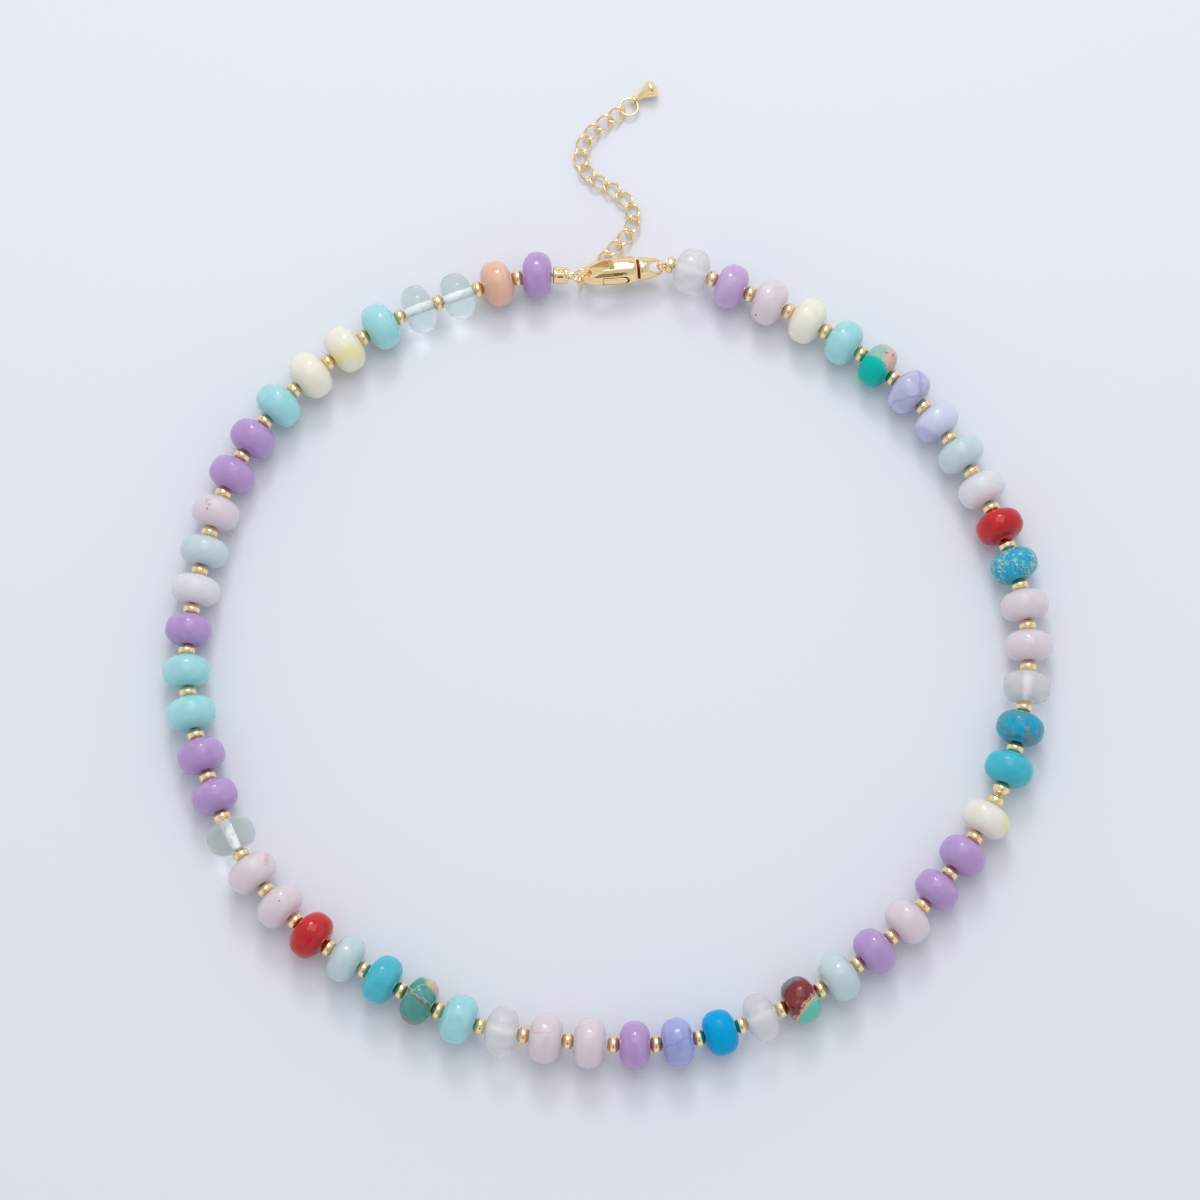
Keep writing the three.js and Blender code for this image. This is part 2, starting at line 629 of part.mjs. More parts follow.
function roundRing(diameter, wire) {
  const radius = (diameter - wire) / 2;
  const pointAt = (turn) => new THREE.Vector3(Math.cos(turn * 2 * Math.PI), Math.sin(turn * 2 * Math.PI), 0)
    .multiplyScalar(radius);
  return toSolid(closedWire(pointAt, new THREE.Vector3(), wire, RING_STEPS));
}

// The ring on the hook stands square to the mouth and holds the thread and the chain
function claspRingMesh() {
  const mesh = toMesh('clasp_ring', roundRing(CLASP_RING_DIAMETER, CLASP_RING_WIRE), gold);
  mesh.rotation.x = Math.PI / 2;
  mesh.position.set(CLASP_RING_CENTRE, 0, -CLASP_RING_DROP);
  return mesh;
}

function claspRingPoint(angle, inwards) {
  const radius = (CLASP_RING_DIAMETER - CLASP_RING_WIRE) / 2 - inwards;
  return new THREE.Vector3(
    CLASP_RING_CENTRE + radius * Math.cos(radians(angle)),
    0,
    -CLASP_RING_DROP + radius * Math.sin(radians(angle)),
  ).applyMatrix4(claspMatrix(HOOK_ROLL));
}

// The chain: joints a pitch apart along its route, with a link between each pair

const jointStep = LINK_LENGTH - 2 * LINK_WIRE - LINK_PLAY;

function chainRoute() {
  const under = new THREE.Vector3(...CHAIN_UNDER_HOOK);
  const start = claspRingPoint(CHAIN_START_ANGLE, 0);
  const pull = under.clone().sub(start).normalize();
  start.addScaledVector(pull, -(CLASP_RING_WIRE + LINK_PLAY) / 2);
  const laid = CHAIN_ROUTE.map(([x, y]) => new THREE.Vector3(x, y, CHAIN_HEIGHT));
  return catmullRom([start, under, ...laid]);
}

function chainJoints() {
  const route = chainRoute();
  const joints = [route.getPoint(0)];
  const samples = 6000;
  for (let sample = 1; sample <= samples && joints.length <= LINK_COUNT; sample += 1) {
    const point = route.getPointAt(sample / samples);
    if (point.distanceTo(joints.at(-1)) >= jointStep) {
      joints.push(point);
    }
  }
  return joints;
}

function linkAxes(from, to) {
  const along = to.clone().sub(from).normalize();
  const across = new THREE.Vector3().crossVectors(UP, along).normalize();
  return [along, across, new THREE.Vector3().crossVectors(along, across)];
}

// A curb link: an oval whose plane twists evenly from one end to the other
function linkMesh(name, from, to, roll) {
  const halfLength = (LINK_LENGTH - LINK_WIRE) / 2;
  const halfWidth = (LINK_WIDTH - LINK_WIRE) / 2;
  const pointAt = (turn) => {
    const angle = turn * 2 * Math.PI;
    const tilt = radians(roll + (LINK_TWIST / 2) * Math.cos(angle));
    const width = halfWidth * Math.sin(angle);
    return new THREE.Vector3(halfLength * Math.cos(angle), width * Math.cos(tilt), width * Math.sin(tilt));
  };
  const solid = toSolid(closedWire(pointAt, new THREE.Vector3(), LINK_WIRE, LINK_STEPS));
  const mesh = toMesh(name, solid, gold);
  mesh.quaternion.setFromRotationMatrix(new THREE.Matrix4().makeBasis(...linkAxes(from, to)));
  mesh.position.copy(from).lerp(to, 0.5);
  return mesh;
}

// The roll that stands the near end of the first link square to the wire of the ring
function rollAtRing(from, to) {
  const [along, across, above] = linkAxes(from, to);
  const wire = claspRingPoint(CHAIN_START_ANGLE + 1, 0).sub(claspRingPoint(CHAIN_START_ANGLE - 1, 0));
  const end = new THREE.Vector3().crossVectors(along, wire);
  const tilt = THREE.MathUtils.radToDeg(Math.atan2(end.dot(above), end.dot(across)));
  const roll = tilt + LINK_TWIST / 2;
  return roll - 180 * Math.round(roll / 180);
}

// The links beside the two rings have rolled over to pass through them
function linkRoll(link, firstRoll) {
  return firstRoll * (ROLL_CARRIED[link] ?? 0) + (END_ROLLS[LINK_COUNT - 1 - link] ?? 0);
}

function dropSolid() {
  const length = DROP_LENGTH;
  const radius = DROP_DIAMETER / 2;
  const ball = new THREE.SphereGeometry(DROP_BALL / 2, DROP_SIDES, 6);
  const profile = DROP_SECTIONS.map((row) => [row.along * length, row.radius * radius]);
  const body = turned([[0, 0], [0, DROP_NECK / 2], [DROP_BALL / 2, DROP_NECK / 2], ...profile, [length, 0]], DROP_SIDES);
  return toSolid(ball).add(body);
}

// The drop lies on the table on its rim, and its ball is threaded on the ring
function dropMesh(ringCentre) {
  const ringRadius = (CHAIN_RING_DIAMETER - CHAIN_RING_WIRE) / 2;
  const away = new THREE.Vector3(Math.cos(radians(DROP_ANGLE_ON_RING)), Math.sin(radians(DROP_ANGLE_ON_RING)), 0);
  const ball = ringCentre.clone().addScaledVector(away, ringRadius);
  const widest = DROP_SECTIONS.reduce((best, row) => (row.radius > best.radius ? row : best));
  const rise = Math.asin((DROP_DIAMETER / 2 - ball.z) / (widest.along * DROP_LENGTH));
  const place = new THREE.Matrix4().makeRotationZ(radians(DROP_HEADING))
    .multiply(new THREE.Matrix4().makeRotationY(-rise)).setPosition(ball);
  const wireRoom = turnedBar(-DROP_BALL, DROP_BALL, DROP_HOLE / 2, DROP_SIDES);
  const holeMatrix = new THREE.Matrix4().makeRotationZ(radians(DROP_ANGLE_ON_RING + 90))
    .setPosition(ball.clone().addScaledVector(away, -DROP_HOLE_INWARDS));
  const inDrop = place.clone().invert().multiply(holeMatrix);
  const mesh = toMesh('chain_drop', dropSolid().subtract(wireRoom.transform(inDrop.elements)), gold);
  mesh.applyMatrix4(place);
  return mesh;
}

// Putting the necklace together

const necklace = new THREE.Group();
const beads = threadBeads();
const [rightCrimp] = beads;
const leftCrimp = beads.at(-1);
const splitAt = beads.findIndex((bead) => bead.kind === 'spacer' && bead.number === STRAND_SPLIT_AFTER) + 1;

const tailFrame = claspMatrix(TAIL_ROLL);
const hookFrame = claspMatrix(HOOK_ROLL);

const eyeGrip = new THREE.Vector3(CLASP_LENGTH - EYE_WALL - LOOP_PLAY - LOOP_THREAD / 2, 0, 0).applyMatrix4(tailFrame);
const rightRoot = rightCrimp.centre.clone().addScaledVector(rightCrimp.along, -RIGHT_CRIMP_LENGTH * LOOP_ROOT);
const rightLoop = threadLoop(
  rightRoot, eyeGrip, new THREE.Vector3(0, 0, 1).transformDirection(tailFrame),
  EYE_THICKNESS / 2 + LOOP_PLAY + LOOP_THREAD / 2,
);
const rightThread = FACE_GAP + RIGHT_CRIMP_LENGTH * THREAD_IN_CRIMP;
const rightHalf = strandSolid(beads.slice(1, splitAt), rightThread, 0).add(rightLoop);
necklace.add(toMesh('strand_right', rightHalf, mixedStone));

const ringGrip = claspRingPoint(180, CLASP_RING_WIRE / 2 + LOOP_PLAY + LOOP_THREAD / 2);
const leftRoot = leftCrimp.centre.clone().addScaledVector(leftCrimp.along, LEFT_CRIMP_LENGTH * LOOP_ROOT);
const leftLoop = threadLoop(
  leftRoot, ringGrip, new THREE.Vector3(0, 1, 0).transformDirection(hookFrame),
  CLASP_RING_WIRE / 2 + LOOP_PLAY + LOOP_THREAD / 2,
);
const leftThread = FACE_GAP + LEFT_CRIMP_LENGTH * THREAD_IN_CRIMP;
const leftHalf = strandSolid(beads.slice(splitAt, -1), 0, leftThread).add(leftLoop);
necklace.add(toMesh('strand_left', leftHalf, turquoiseStone));

necklace.add(crimpMesh('crimp_right', rightCrimp));
necklace.add(crimpMesh('crimp_left', leftCrimp));

const hookGroup = claspGroup(HOOK_ROLL);
hookGroup.add(toMesh('clasp_hook', hookSolid(), gold));
hookGroup.add(toMesh('clasp_gate', gateSolid(), gold));
hookGroup.add(claspRingMesh());
necklace.add(hookGroup);

const tailGroup = claspGroup(TAIL_ROLL);
tailGroup.add(toMesh('clasp_tail', tailSolid(), gold));
necklace.add(tailGroup);

const joints = chainJoints();
const firstRoll = rollAtRing(joints[0], joints[1]);
for (let link = 0; link < LINK_COUNT; link += 1) {
  const name = `chain_link_${String(link + 1).padStart(2, '0')}`;
  necklace.add(linkMesh(name, joints[link], joints[link + 1], linkRoll(link, firstRoll)));
}

const lastStep = joints[LINK_COUNT].clone().sub(joints[LINK_COUNT - 1]).normalize();
const ringCentre = joints[LINK_COUNT].clone()
  .addScaledVector(lastStep, (CHAIN_RING_DIAMETER - 2 * CHAIN_RING_WIRE - LINK_PLAY) / 2);
const chainRing = toMesh('chain_ring', roundRing(CHAIN_RING_DIAMETER, CHAIN_RING_WIRE), gold);
chainRing.position.copy(ringCentre);
necklace.add(chainRing);
necklace.add(dropMesh(ringCentre));

// The origin is below the middle of the whole piece
const box = new THREE.Box3().setFromObject(necklace, true);
necklace.position.set(-(box.min.x + box.max.x) / 2, -(box.min.y + box.max.y) / 2, -box.min.z);
necklace.updateMatrixWorld(true);

export default necklace;
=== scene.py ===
"""The finished looks of a beaded necklace with a swivel clasp and an extender chain.

The necklace lies in a closed loop on a pale table. Each sub-assembly is a class that
builds its meshes in millimetres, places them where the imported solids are, and dresses
them. Geometry Nodes trees repeat the stones, the spacers and the links of the chain.
"""

from __future__ import annotations

import logging
import math
from dataclasses import dataclass, field
from enum import StrEnum, auto
from typing import Callable, Iterable, Sequence

import bmesh
import bpy
import numpy as np
from mathutils import Euler, Matrix, Vector

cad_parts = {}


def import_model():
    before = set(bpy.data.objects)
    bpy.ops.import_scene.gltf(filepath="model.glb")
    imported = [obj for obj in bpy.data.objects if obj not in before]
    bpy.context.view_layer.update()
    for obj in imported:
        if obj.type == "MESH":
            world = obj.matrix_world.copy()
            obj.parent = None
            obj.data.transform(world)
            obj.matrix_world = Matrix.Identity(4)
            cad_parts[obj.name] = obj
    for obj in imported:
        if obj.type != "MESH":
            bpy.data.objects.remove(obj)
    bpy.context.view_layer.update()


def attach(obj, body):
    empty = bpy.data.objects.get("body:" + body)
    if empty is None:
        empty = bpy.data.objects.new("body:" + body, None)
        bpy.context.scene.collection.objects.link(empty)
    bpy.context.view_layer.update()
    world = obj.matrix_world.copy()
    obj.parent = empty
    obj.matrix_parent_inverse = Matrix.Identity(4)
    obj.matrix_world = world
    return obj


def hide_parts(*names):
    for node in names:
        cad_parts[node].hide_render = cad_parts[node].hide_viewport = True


LOG = logging.getLogger("necklace")
Colour = tuple[float, float, float, float]
Corner = tuple[float, float]
Triple = tuple[float, float, float]
Piece = bpy.types.Object
Surface = bpy.types.Material
Groups = dict[str, bpy.types.NodeTree]
Socket = bpy.types.NodeSocket
MILLIMETRE = 0.001
UP = Vector((0.0, 0.0, 1.0))

STONE_DIAMETER = 8.0
STONE_THICKNESS = 5.22
STONE_FULLNESS = 2.5
STONE_REACH = 1.05
STONE_BORE = 1.0
STONE_UNEVENNESS = 0.12
GLASS_BORE = 1.25
SPACER_DIAMETER = 2.9
SPACER_LENGTH = 1.92
DOUBLE_SPACER_AFTER = 17
DOUBLE_SPACER_GAP = 0.3
STRAND_SPLIT_AFTER = 28
FACE_GAP = 0.3
THREAD_DIAMETER = 0.6
THREAD_SHARE = 0.9
LOOP_THREAD = 0.36
LOOP_PLAY = 0.36
LOOP_ROOT = 0.2
RIGHT_CRIMP_LENGTH = 1.4
LEFT_CRIMP_LENGTH = 2.6
CRIMP_DIAMETER = 3.0
CRIMP_BORE = 2.1

CLASP_NOSE = Vector((-4.75, 49.3, 4.4))
CLASP_HEADING = 7.5
CLASP_PITCH = 1.6
HOOK_ROLL = 24.0
TAIL_ROLL = -15.0
CLASP_DIAMETER = 4.8
HOOK_LENGTH = 9.75
SWIVEL_GAP = 0.45
TAIL_LENGTH = 4.2

STRING_ROUTE = (
    (10.0, 51.4), (14.4, 50.2), (34.1, 41.2), (51.1, 28.4), (62.8, 11.2), (69.3, -8.7),
    (69.2, -22.8), (65.8, -36.6), (61.7, -45.1), (53.4, -56.7), (43.1, -66.7), (31.1, -74.6),
    (11.3, -81.4), (-10.2, -80.8), (-24.1, -77.7), (-36.5, -71.3), (-48.0, -64.1),
    (-57.7, -54.0), (-64.4, -41.3), (-69.7, -20.2), (-67.3, 0.5), (-63.1, 14.0),
    (-55.5, 26.3), (-38.6, 40.2), (-25.5, 45.8), (-11.9, 49.7), (-6.7, 49.3),
)
CHAIN_ROUTE = (
    (-0.3, 54.0), (3.6, 58.2), (4.75, 60.7), (4.15, 63.2), (0.7, 66.6), (-2.2, 68.0),
    (-4.0, 69.8), (-4.8, 72.3), (-4.2, 74.9), (-2.6, 77.2), (2.1, 80.5), (6.3, 84.0),
)


class Look(StrEnum):
    """The kinds of stone on the string."""

    MILKY_QUARTZ = auto()
    LILAC = auto()
    PURPLE = auto()
    ROSE = auto()
    ROSE_SPECKED = auto()
    ROSE_LINED = auto()
    ROSE_SPOT = auto()
    ROSE_FEATHER = auto()
    ROSE_MARKED = auto()
    CREAM = auto()
    CREAM_BANDED = auto()
    IVORY = auto()
    AQUA = auto()
    PALE_AQUA = auto()
    MOONSTONE = auto()
    LAVENDER = auto()
    BLUE_LACE = auto()
    PERIWINKLE = auto()
    RED = auto()
    PEACH = auto()
    TURQUOISE = auto()
    SKY_TURQUOISE = auto()
    BRIGHT_BLUE = auto()
    TEAL_PATCHED = auto()
    TURQUOISE_WEB = auto()
    TURQUOISE_PATCHED = auto()
    RED_JASPER = auto()
    GREEN_JASPER = auto()
    GREEN_GLASS = auto()
    OPALITE = auto()


# One row a stone, clockwise from the clasp's tail: its look, its shares of the nominal
# thickness and diameter, and how far it has turned on the thread, in degrees
STONES: tuple[tuple[Look, float, float, float], ...] = (
    (Look.MILKY_QUARTZ, 1.08, 1.01, 2),
    (Look.LILAC, 0.97, 0.97, 0),
    (Look.ROSE_SPECKED, 1.02, 1.00, 0),
    (Look.CREAM, 1.02, 1.00, 0),
    (Look.AQUA, 1.01, 0.98, 0),
    (Look.TEAL_PATCHED, 0.95, 0.97, 0),
    (Look.BLUE_LACE, 1.01, 1.01, 2),
    (Look.LAVENDER, 0.97, 0.98, 0),
    (Look.PALE_AQUA, 0.96, 1.02, 0),
    (Look.MOONSTONE, 0.98, 1.03, 0),
    (Look.RED, 0.99, 1.01, 0),
    (Look.TURQUOISE_WEB, 1.01, 1.00, 4),
    (Look.ROSE, 0.98, 1.01, 0),
    (Look.ROSE, 0.98, 1.00, 0),
    (Look.MILKY_QUARTZ, 0.98, 1.00, 0),
    (Look.TURQUOISE_PATCHED, 1.00, 1.00, -3),
    (Look.TURQUOISE, 1.02, 1.01, 0),
    (Look.IVORY, 1.00, 1.01, 0),
    (Look.PURPLE, 1.03, 0.99, 0),
    (Look.PURPLE, 0.97, 0.95, 0),
    (Look.ROSE, 1.05, 1.00, 0),
    (Look.PURPLE, 1.01, 0.99, 0),
    (Look.PALE_AQUA, 1.04, 1.01, 0),
    (Look.RED_JASPER, 1.01, 0.98, 2),
    (Look.MILKY_QUARTZ, 0.96, 1.01, 0),
    (Look.BRIGHT_BLUE, 1.01, 0.94, 0),
    (Look.PERIWINKLE, 0.97, 0.99, 0),
    (Look.PURPLE, 0.96, 0.98, 0),
    (Look.ROSE, 0.99, 1.03, 0),
    (Look.ROSE_LINED, 1.02, 1.03, 0),
    (Look.MILKY_QUARTZ, 1.00, 1.01, 0),
    (Look.AQUA, 1.03, 1.03, 0),
    (Look.GREEN_JASPER, 0.95, 1.00, 0),
    (Look.SKY_TURQUOISE, 0.97, 1.03, 0),
    (Look.PALE_AQUA, 0.93, 0.99, 0),
    (Look.RED, 0.99, 1.02, 0),
    (Look.ROSE_SPOT, 1.00, 1.02, 0),
    (Look.ROSE_FEATHER, 1.00, 1.04, 0),
    (Look.GREEN_GLASS, 1.00, 1.02, 0),
    (Look.PURPLE, 1.02, 0.97, 3),
    (Look.PURPLE, 1.04, 0.99, 0),
    (Look.AQUA, 1.05, 1.03, 0),
    (Look.AQUA, 1.01, 1.00, 0),
    (Look.PURPLE, 0.98, 0.98, 0),
    (Look.MOONSTONE, 0.94, 1.03, 0),
    (Look.PALE_AQUA, 0.93, 1.01, 0),
    (Look.ROSE_MARKED, 1.01, 1.01, 0),
    (Look.PURPLE, 1.01, 0.98, -3),
    (Look.PURPLE, 1.01, 0.98, 0),
    (Look.AQUA, 1.04, 1.02, 0),
    (Look.CREAM, 1.08, 1.04, 0),
    (Look.CREAM_BANDED, 1.04, 1.03, 0),
    (Look.AQUA, 1.02, 1.02, 0),
    (Look.OPALITE, 0.97, 1.04, 0),
    (Look.OPALITE, 1.00, 0.99, 0),
    (Look.PEACH, 0.99, 0.98, 0),
    (Look.PURPLE, 0.95, 0.98, -8),
)


def linear(red: int, green: int, blue: int) -> Colour:
    """Turns a colour of three bytes into the linear colour that a shader takes.

    Args:
        red: The red byte.
        green: The green byte.
        blue: The blue byte.

    Returns:
        The linear red, green, blue and an alpha of one.
    """
    def curve(byte: int) -> float:
        """Undoes the display curve of one channel."""
        share = byte / 255
        return share / 12.92 if share <= 0.04045 else ((share + 0.055) / 1.055) ** 2.4

    return (curve(red), curve(green), curve(blue), 1.0)


def turned_basis(along: Vector) -> Matrix:
    """Makes axes with X along a bead's thread and Z as near to upright as it can be.

    Args:
        along: The direction of the thread.

    Returns:
        A rotation of three rows.
    """
    across = UP.cross(along).normalized()
    above = along.cross(across)
    return Matrix((along, across, above)).transposed()


def clasp_matrix(roll: float) -> Matrix:
    """Places the clasp's own frame: X from the nose to the tail, the gate at -Y.

    Args:
        roll: The turn about the clasp's length, in degrees.

    Returns:
        The matrix from the clasp's frame to the table, in millimetres.
    """
    turn = (
        Matrix.Rotation(math.radians(CLASP_HEADING), 4, "Z")
        @ Matrix.Rotation(math.radians(CLASP_PITCH), 4, "Y")
        @ Matrix.Rotation(-math.radians(roll), 4, "X")
    )
    return Matrix.Translation(CLASP_NOSE) @ turn


class SmoothRoute:
    """A smooth curve through chosen places, measured along its length."""

    def __init__(self, places: np.ndarray, closed: bool = False) -> None:
        """Fits the curve and measures it.

        Args:
            places: The chosen places, one row each.
            closed: Whether the last place joins the first.
        """
        self.count = len(places)
        self.closed = closed
        if closed:
            self.padded = np.vstack([places[-1], places, places[0], places[1]])
        else:
            first = 2 * places[0] - places[1]
            last = 2 * places[-1] - places[-2]
            self.padded = np.vstack([first, places, last])
        self.turns = np.linspace(0.0, 1.0, 4001)
        steps = np.linalg.norm(np.diff(self.points(self.turns), axis=0), axis=1)
        self.reached = np.concatenate([[0.0], np.cumsum(steps)])

    @property
    def length(self) -> float:
        """The whole length of the curve."""
        return float(self.reached[-1])

    def points(self, turns: np.ndarray) -> np.ndarray:
        """Finds the points at some values of the curve's parameter.

        Args:
            turns: Values from 0 to 1.

        Returns:
            One row of coordinates for each value.
        """
        spans = self.count if self.closed else self.count - 1
        place = np.asarray(turns, float) * spans
        whole = np.clip(np.floor(place).astype(int), 0, spans - 1)
        weight = (place - whole)[:, None]
        p0, p1, p2, p3 = (self.padded[whole + shift] for shift in range(4))
        d0 = np.sqrt(np.linalg.norm(p1 - p0, axis=1))[:, None]
        d1 = np.sqrt(np.linalg.norm(p2 - p1, axis=1))[:, None]
        d2 = np.sqrt(np.linalg.norm(p3 - p2, axis=1))[:, None]
        t1 = ((p1 - p0) / d0 - (p2 - p0) / (d0 + d1) + (p2 - p1) / d1) * d1
        t2 = ((p2 - p1) / d1 - (p3 - p1) / (d1 + d2) + (p3 - p2) / d2) * d1
        square = -3 * p1 + 3 * p2 - 2 * t1 - t2
        cube = 2 * p1 - 2 * p2 + t1 + t2
        return p1 + t1 * weight + square * weight**2 + cube * weight**3

    def turn_at(self, share: np.ndarray) -> np.ndarray:
        """Turns shares of the length into values of the parameter."""
        return np.interp(np.asarray(share, float) * self.length, self.reached, self.turns)

    def points_at(self, share: np.ndarray) -> np.ndarray:
        """Finds the points at some shares of the length."""
        return self.points(self.turn_at(share))

    def tangent_at(self, share: float) -> Vector:
        """Finds the direction of the curve at one share of its length.

        Args:
            share: The share of the length, from 0 to 1.

        Returns:
            A direction of length one.
        """
        turn = float(self.turn_at(np.array([share]))[0])
        ends = self.points(np.array([max(turn - 1e-4, 0.0), min(turn + 1e-4, 1.0)]))
        return Vector(ends[1] - ends[0]).normalized()


@dataclass
class Bead:
    """One stone, spacer or crimp on the string."""

    kind: str
    number: int
    length: float
    diameter: float
    bare: float = 0.0
    turn: float = 0.0
    centre: Vector = field(default_factory=Vector)
    along: Vector = field(default_factory=lambda: Vector((1.0, 0.0, 0.0)))

    def matrix(self) -> Matrix:
        """The bead's place, with X along its thread."""
        return Matrix.Translation(self.centre) @ turned_basis(self.along).to_4x4()


class StringLayout:
    """Threads the beads along their route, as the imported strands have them."""

    def __init__(self) -> None:
        """Lays out every bead from the clasp's tail to its nose."""
        self.beads = self._bead_list()
        needed = sum(bead.length + bead.bare for bead in self.beads)
        drawn = np.array([(x, y, 0.0) for x, y in STRING_ROUTE])
        middle = (drawn[0] + drawn[-1]) / 2
        scale = needed / SmoothRoute(drawn).length
        route = SmoothRoute((drawn - middle) * scale + middle)
        reached = 0.0
        for bead in self.beads:
            share = (reached + bead.length / 2) / needed
            bead.centre = Vector(route.points_at(np.array([share]))[0])
            bead.along = route.tangent_at(share)
            bead.centre.z = bead.diameter / 2 if bead.kind == "stone" else STONE_DIAMETER / 2
            if bead.turn:
                bead.along.rotate(Matrix.Rotation(math.radians(bead.turn), 3, "Z"))
            reached += bead.length + bead.bare
        self._line_up(self.beads[0], self.beads[1], -1)
        self._line_up(self.beads[-1], self.beads[-2], 1)

    @staticmethod
    def _bead_list() -> list[Bead]:
        """Lists the beads in order with the bare thread that follows each.

        Returns:
            The crimps, stones and spacers, not yet placed.
        """
        beads = [Bead("crimp", 0, RIGHT_CRIMP_LENGTH, CRIMP_DIAMETER, FACE_GAP)]
        for number, (_, thick, wide, turn) in enumerate(STONES, start=1):
            beads.append(Bead("stone", number, STONE_THICKNESS * thick, STONE_DIAMETER * wide, 0.0, turn))
            if number == DOUBLE_SPACER_AFTER:
                beads.append(Bead("spacer", number, SPACER_LENGTH, SPACER_DIAMETER, DOUBLE_SPACER_GAP))
            if number < len(STONES):
                bare = FACE_GAP if number == STRAND_SPLIT_AFTER else 0.0
                beads.append(Bead("spacer", number, SPACER_LENGTH, SPACER_DIAMETER, bare))
        beads[-1].bare = FACE_GAP
        beads.append(Bead("crimp", 99, LEFT_CRIMP_LENGTH, CRIMP_DIAMETER))
        return beads

    @staticmethod
    def _line_up(crimp: Bead, stone: Bead, way: int) -> None:
        """Sets a crimp square on the thread that leaves the end stone.

        Args:
            crimp: The crimp to place.
            stone: The end stone.
            way: 1 beyond the stone, -1 before it.
        """
        reach = stone.length / 2 + FACE_GAP + crimp.length / 2
        crimp.along = stone.along.copy()
        crimp.centre = stone.centre + stone.along * (way * reach)

    def of_kind(self, kind: str) -> list[Bead]:
        """The beads of one kind, in order."""
        return [bead for bead in self.beads if bead.kind == kind]


class Tree:
    """Adds nodes to a node tree and links them."""

    def __init__(self, tree: bpy.types.NodeTree) -> None:
        """Keeps the tree that the nodes go into."""
        self.tree = tree

    def add(self, kind: str, inputs: dict | None = None, **settings: object) -> bpy.types.Node:
        """Adds one node, sets it and links its inputs.

        Args:
            kind: The node's type.
            inputs: Values or sockets for its inputs, by name or number.
            settings: Values for the node's own properties.

        Returns:
            The new node.
        """
        node = self.tree.nodes.new(kind)
        for name, value in settings.items():
            setattr(node, name, value)
        for name, value in (inputs or {}).items():
            if isinstance(value, Socket):
                self.tree.links.new(value, node.inputs[name])
            else:
                node.inputs[name].default_value = value
        return node

    def group(self, shared: bpy.types.NodeTree, inputs: dict) -> bpy.types.Node:
        """Places a shared group and sets its inputs."""
        return self.add("ShaderNodeGroup", inputs, node_tree=shared)

    def stored(self, name: str, kind: str = "FLOAT_VECTOR") -> Socket:
        """Reads an attribute that a mesh carries."""
        node = self.add("GeometryNodeInputNamedAttribute", {"Name": name}, data_type=kind)
        return node.outputs["Attribute"]

    def noise(self, place: Socket, seed: Socket, **inputs: object) -> Socket:
        """Adds a noise that differs from stone to stone and gives its strength."""
        inputs = {"Vector": place, "W": seed, **inputs}
        return self.add("ShaderNodeTexNoise", inputs, noise_dimensions="4D").outputs["Fac"]

    def geometry(self, kind: str, inputs: dict, **settings: object) -> Socket:
        """Adds a geometry node and gives its first output."""
        return self.add("GeometryNode" + kind, inputs, **settings).outputs[0]

    def math(self, operation: str, first: object, second: object = 0.0) -> Socket:
        """Adds a math node and gives its result."""
        return self.add("ShaderNodeMath", {0: first, 1: second}, operation=operation).outputs[0]

    def vector(self, operation: str, first: object, second: object = (0.0, 0.0, 0.0)) -> Socket:
        """Adds a vector math node and gives its vector or its number."""
        node = self.add("ShaderNodeVectorMath", {0: first, 1: second}, operation=operation)
        return node.outputs["Value" if operation in ("LENGTH", "DOT_PRODUCT") else "Vector"]

    def scaled(self, vector: object, share: Socket) -> Socket:
        """Makes a vector longer or shorter."""
        node = self.add("ShaderNodeVectorMath", {0: vector, "Scale": share}, operation="SCALE")
        return node.outputs["Vector"]

    def ramp(self, value: object, low: object, high: object) -> Socket:
        """Fades smoothly from 0 at the low value to 1 at the high one."""
        inputs = {"Value": value, "From Min": low, "From Max": high}
        return self.add("ShaderNodeMapRange", inputs, interpolation_type="SMOOTHSTEP").outputs["Result"]

    def mix(self, share: object, first: object, second: object) -> Socket:
        """Mixes two colours and gives the mixed colour."""
        node = self.add("ShaderNodeMix", {0: share, 6: first, 7: second}, data_type="RGBA")
        return node.outputs[2]


def add_socket(tree: bpy.types.NodeTree, name: str, kind: str, value: object = None,
               output: bool = False) -> None:
    """Adds a named socket to the outside of a node tree.

    Args:
        tree: The node tree.
        name: The socket's name.
        kind: The socket's type, without its common prefix.
        value: The value it starts with.
        output: Whether it is an output.
    """
    way = "OUTPUT" if output else "INPUT"
    socket = tree.interface.new_socket(name=name, in_out=way, socket_type="NodeSocket" + kind)
    if value is not None:
        socket.default_value = value


def start_group(name: str, inputs: dict[str, object]) -> tuple[Tree, dict[str, Socket]]:
    """Starts a shader group whose first input is the place on the stone.

    Args:
        name: The group's name.
        inputs: The starting values of its other inputs, by name.

    Returns:
        The group's tree, and the sockets of its inputs by name.
    """
    tree = bpy.data.node_groups.new(name, "ShaderNodeTree")
    add_socket(tree, "Place", "Vector")
    for title, value in inputs.items():
        add_socket(tree, title, "Vector" if isinstance(value, tuple) else "Float", value)
    nodes = Tree(tree)
    outputs = nodes.add("NodeGroupInput").outputs
    return nodes, {socket.name: socket for socket in outputs if socket.name}


def end_group(nodes: Tree, outputs: dict[str, Socket]) -> bpy.types.NodeTree:
    """Gives a shader group its outputs and returns the group.

    Args:
        nodes: The group's tree.
        outputs: Its results, by name.

    Returns:
        The finished group.
    """
    for title in outputs:
        add_socket(nodes.tree, title, "Float", output=True)
    nodes.add("NodeGroupOutput", outputs)
    return nodes.tree


def start_material(name: str) -> tuple[Surface, Tree, bpy.types.Node]:
    """Starts a material and gives it, its tree and its shader.

    Args:
        name: The material's name.

    Returns:
        The material, its tree and its shader.
    """
    material = bpy.data.materials.new(name)
    material.use_nodes = True
    return material, Tree(material.node_tree), material.node_tree.nodes["Principled BSDF"]


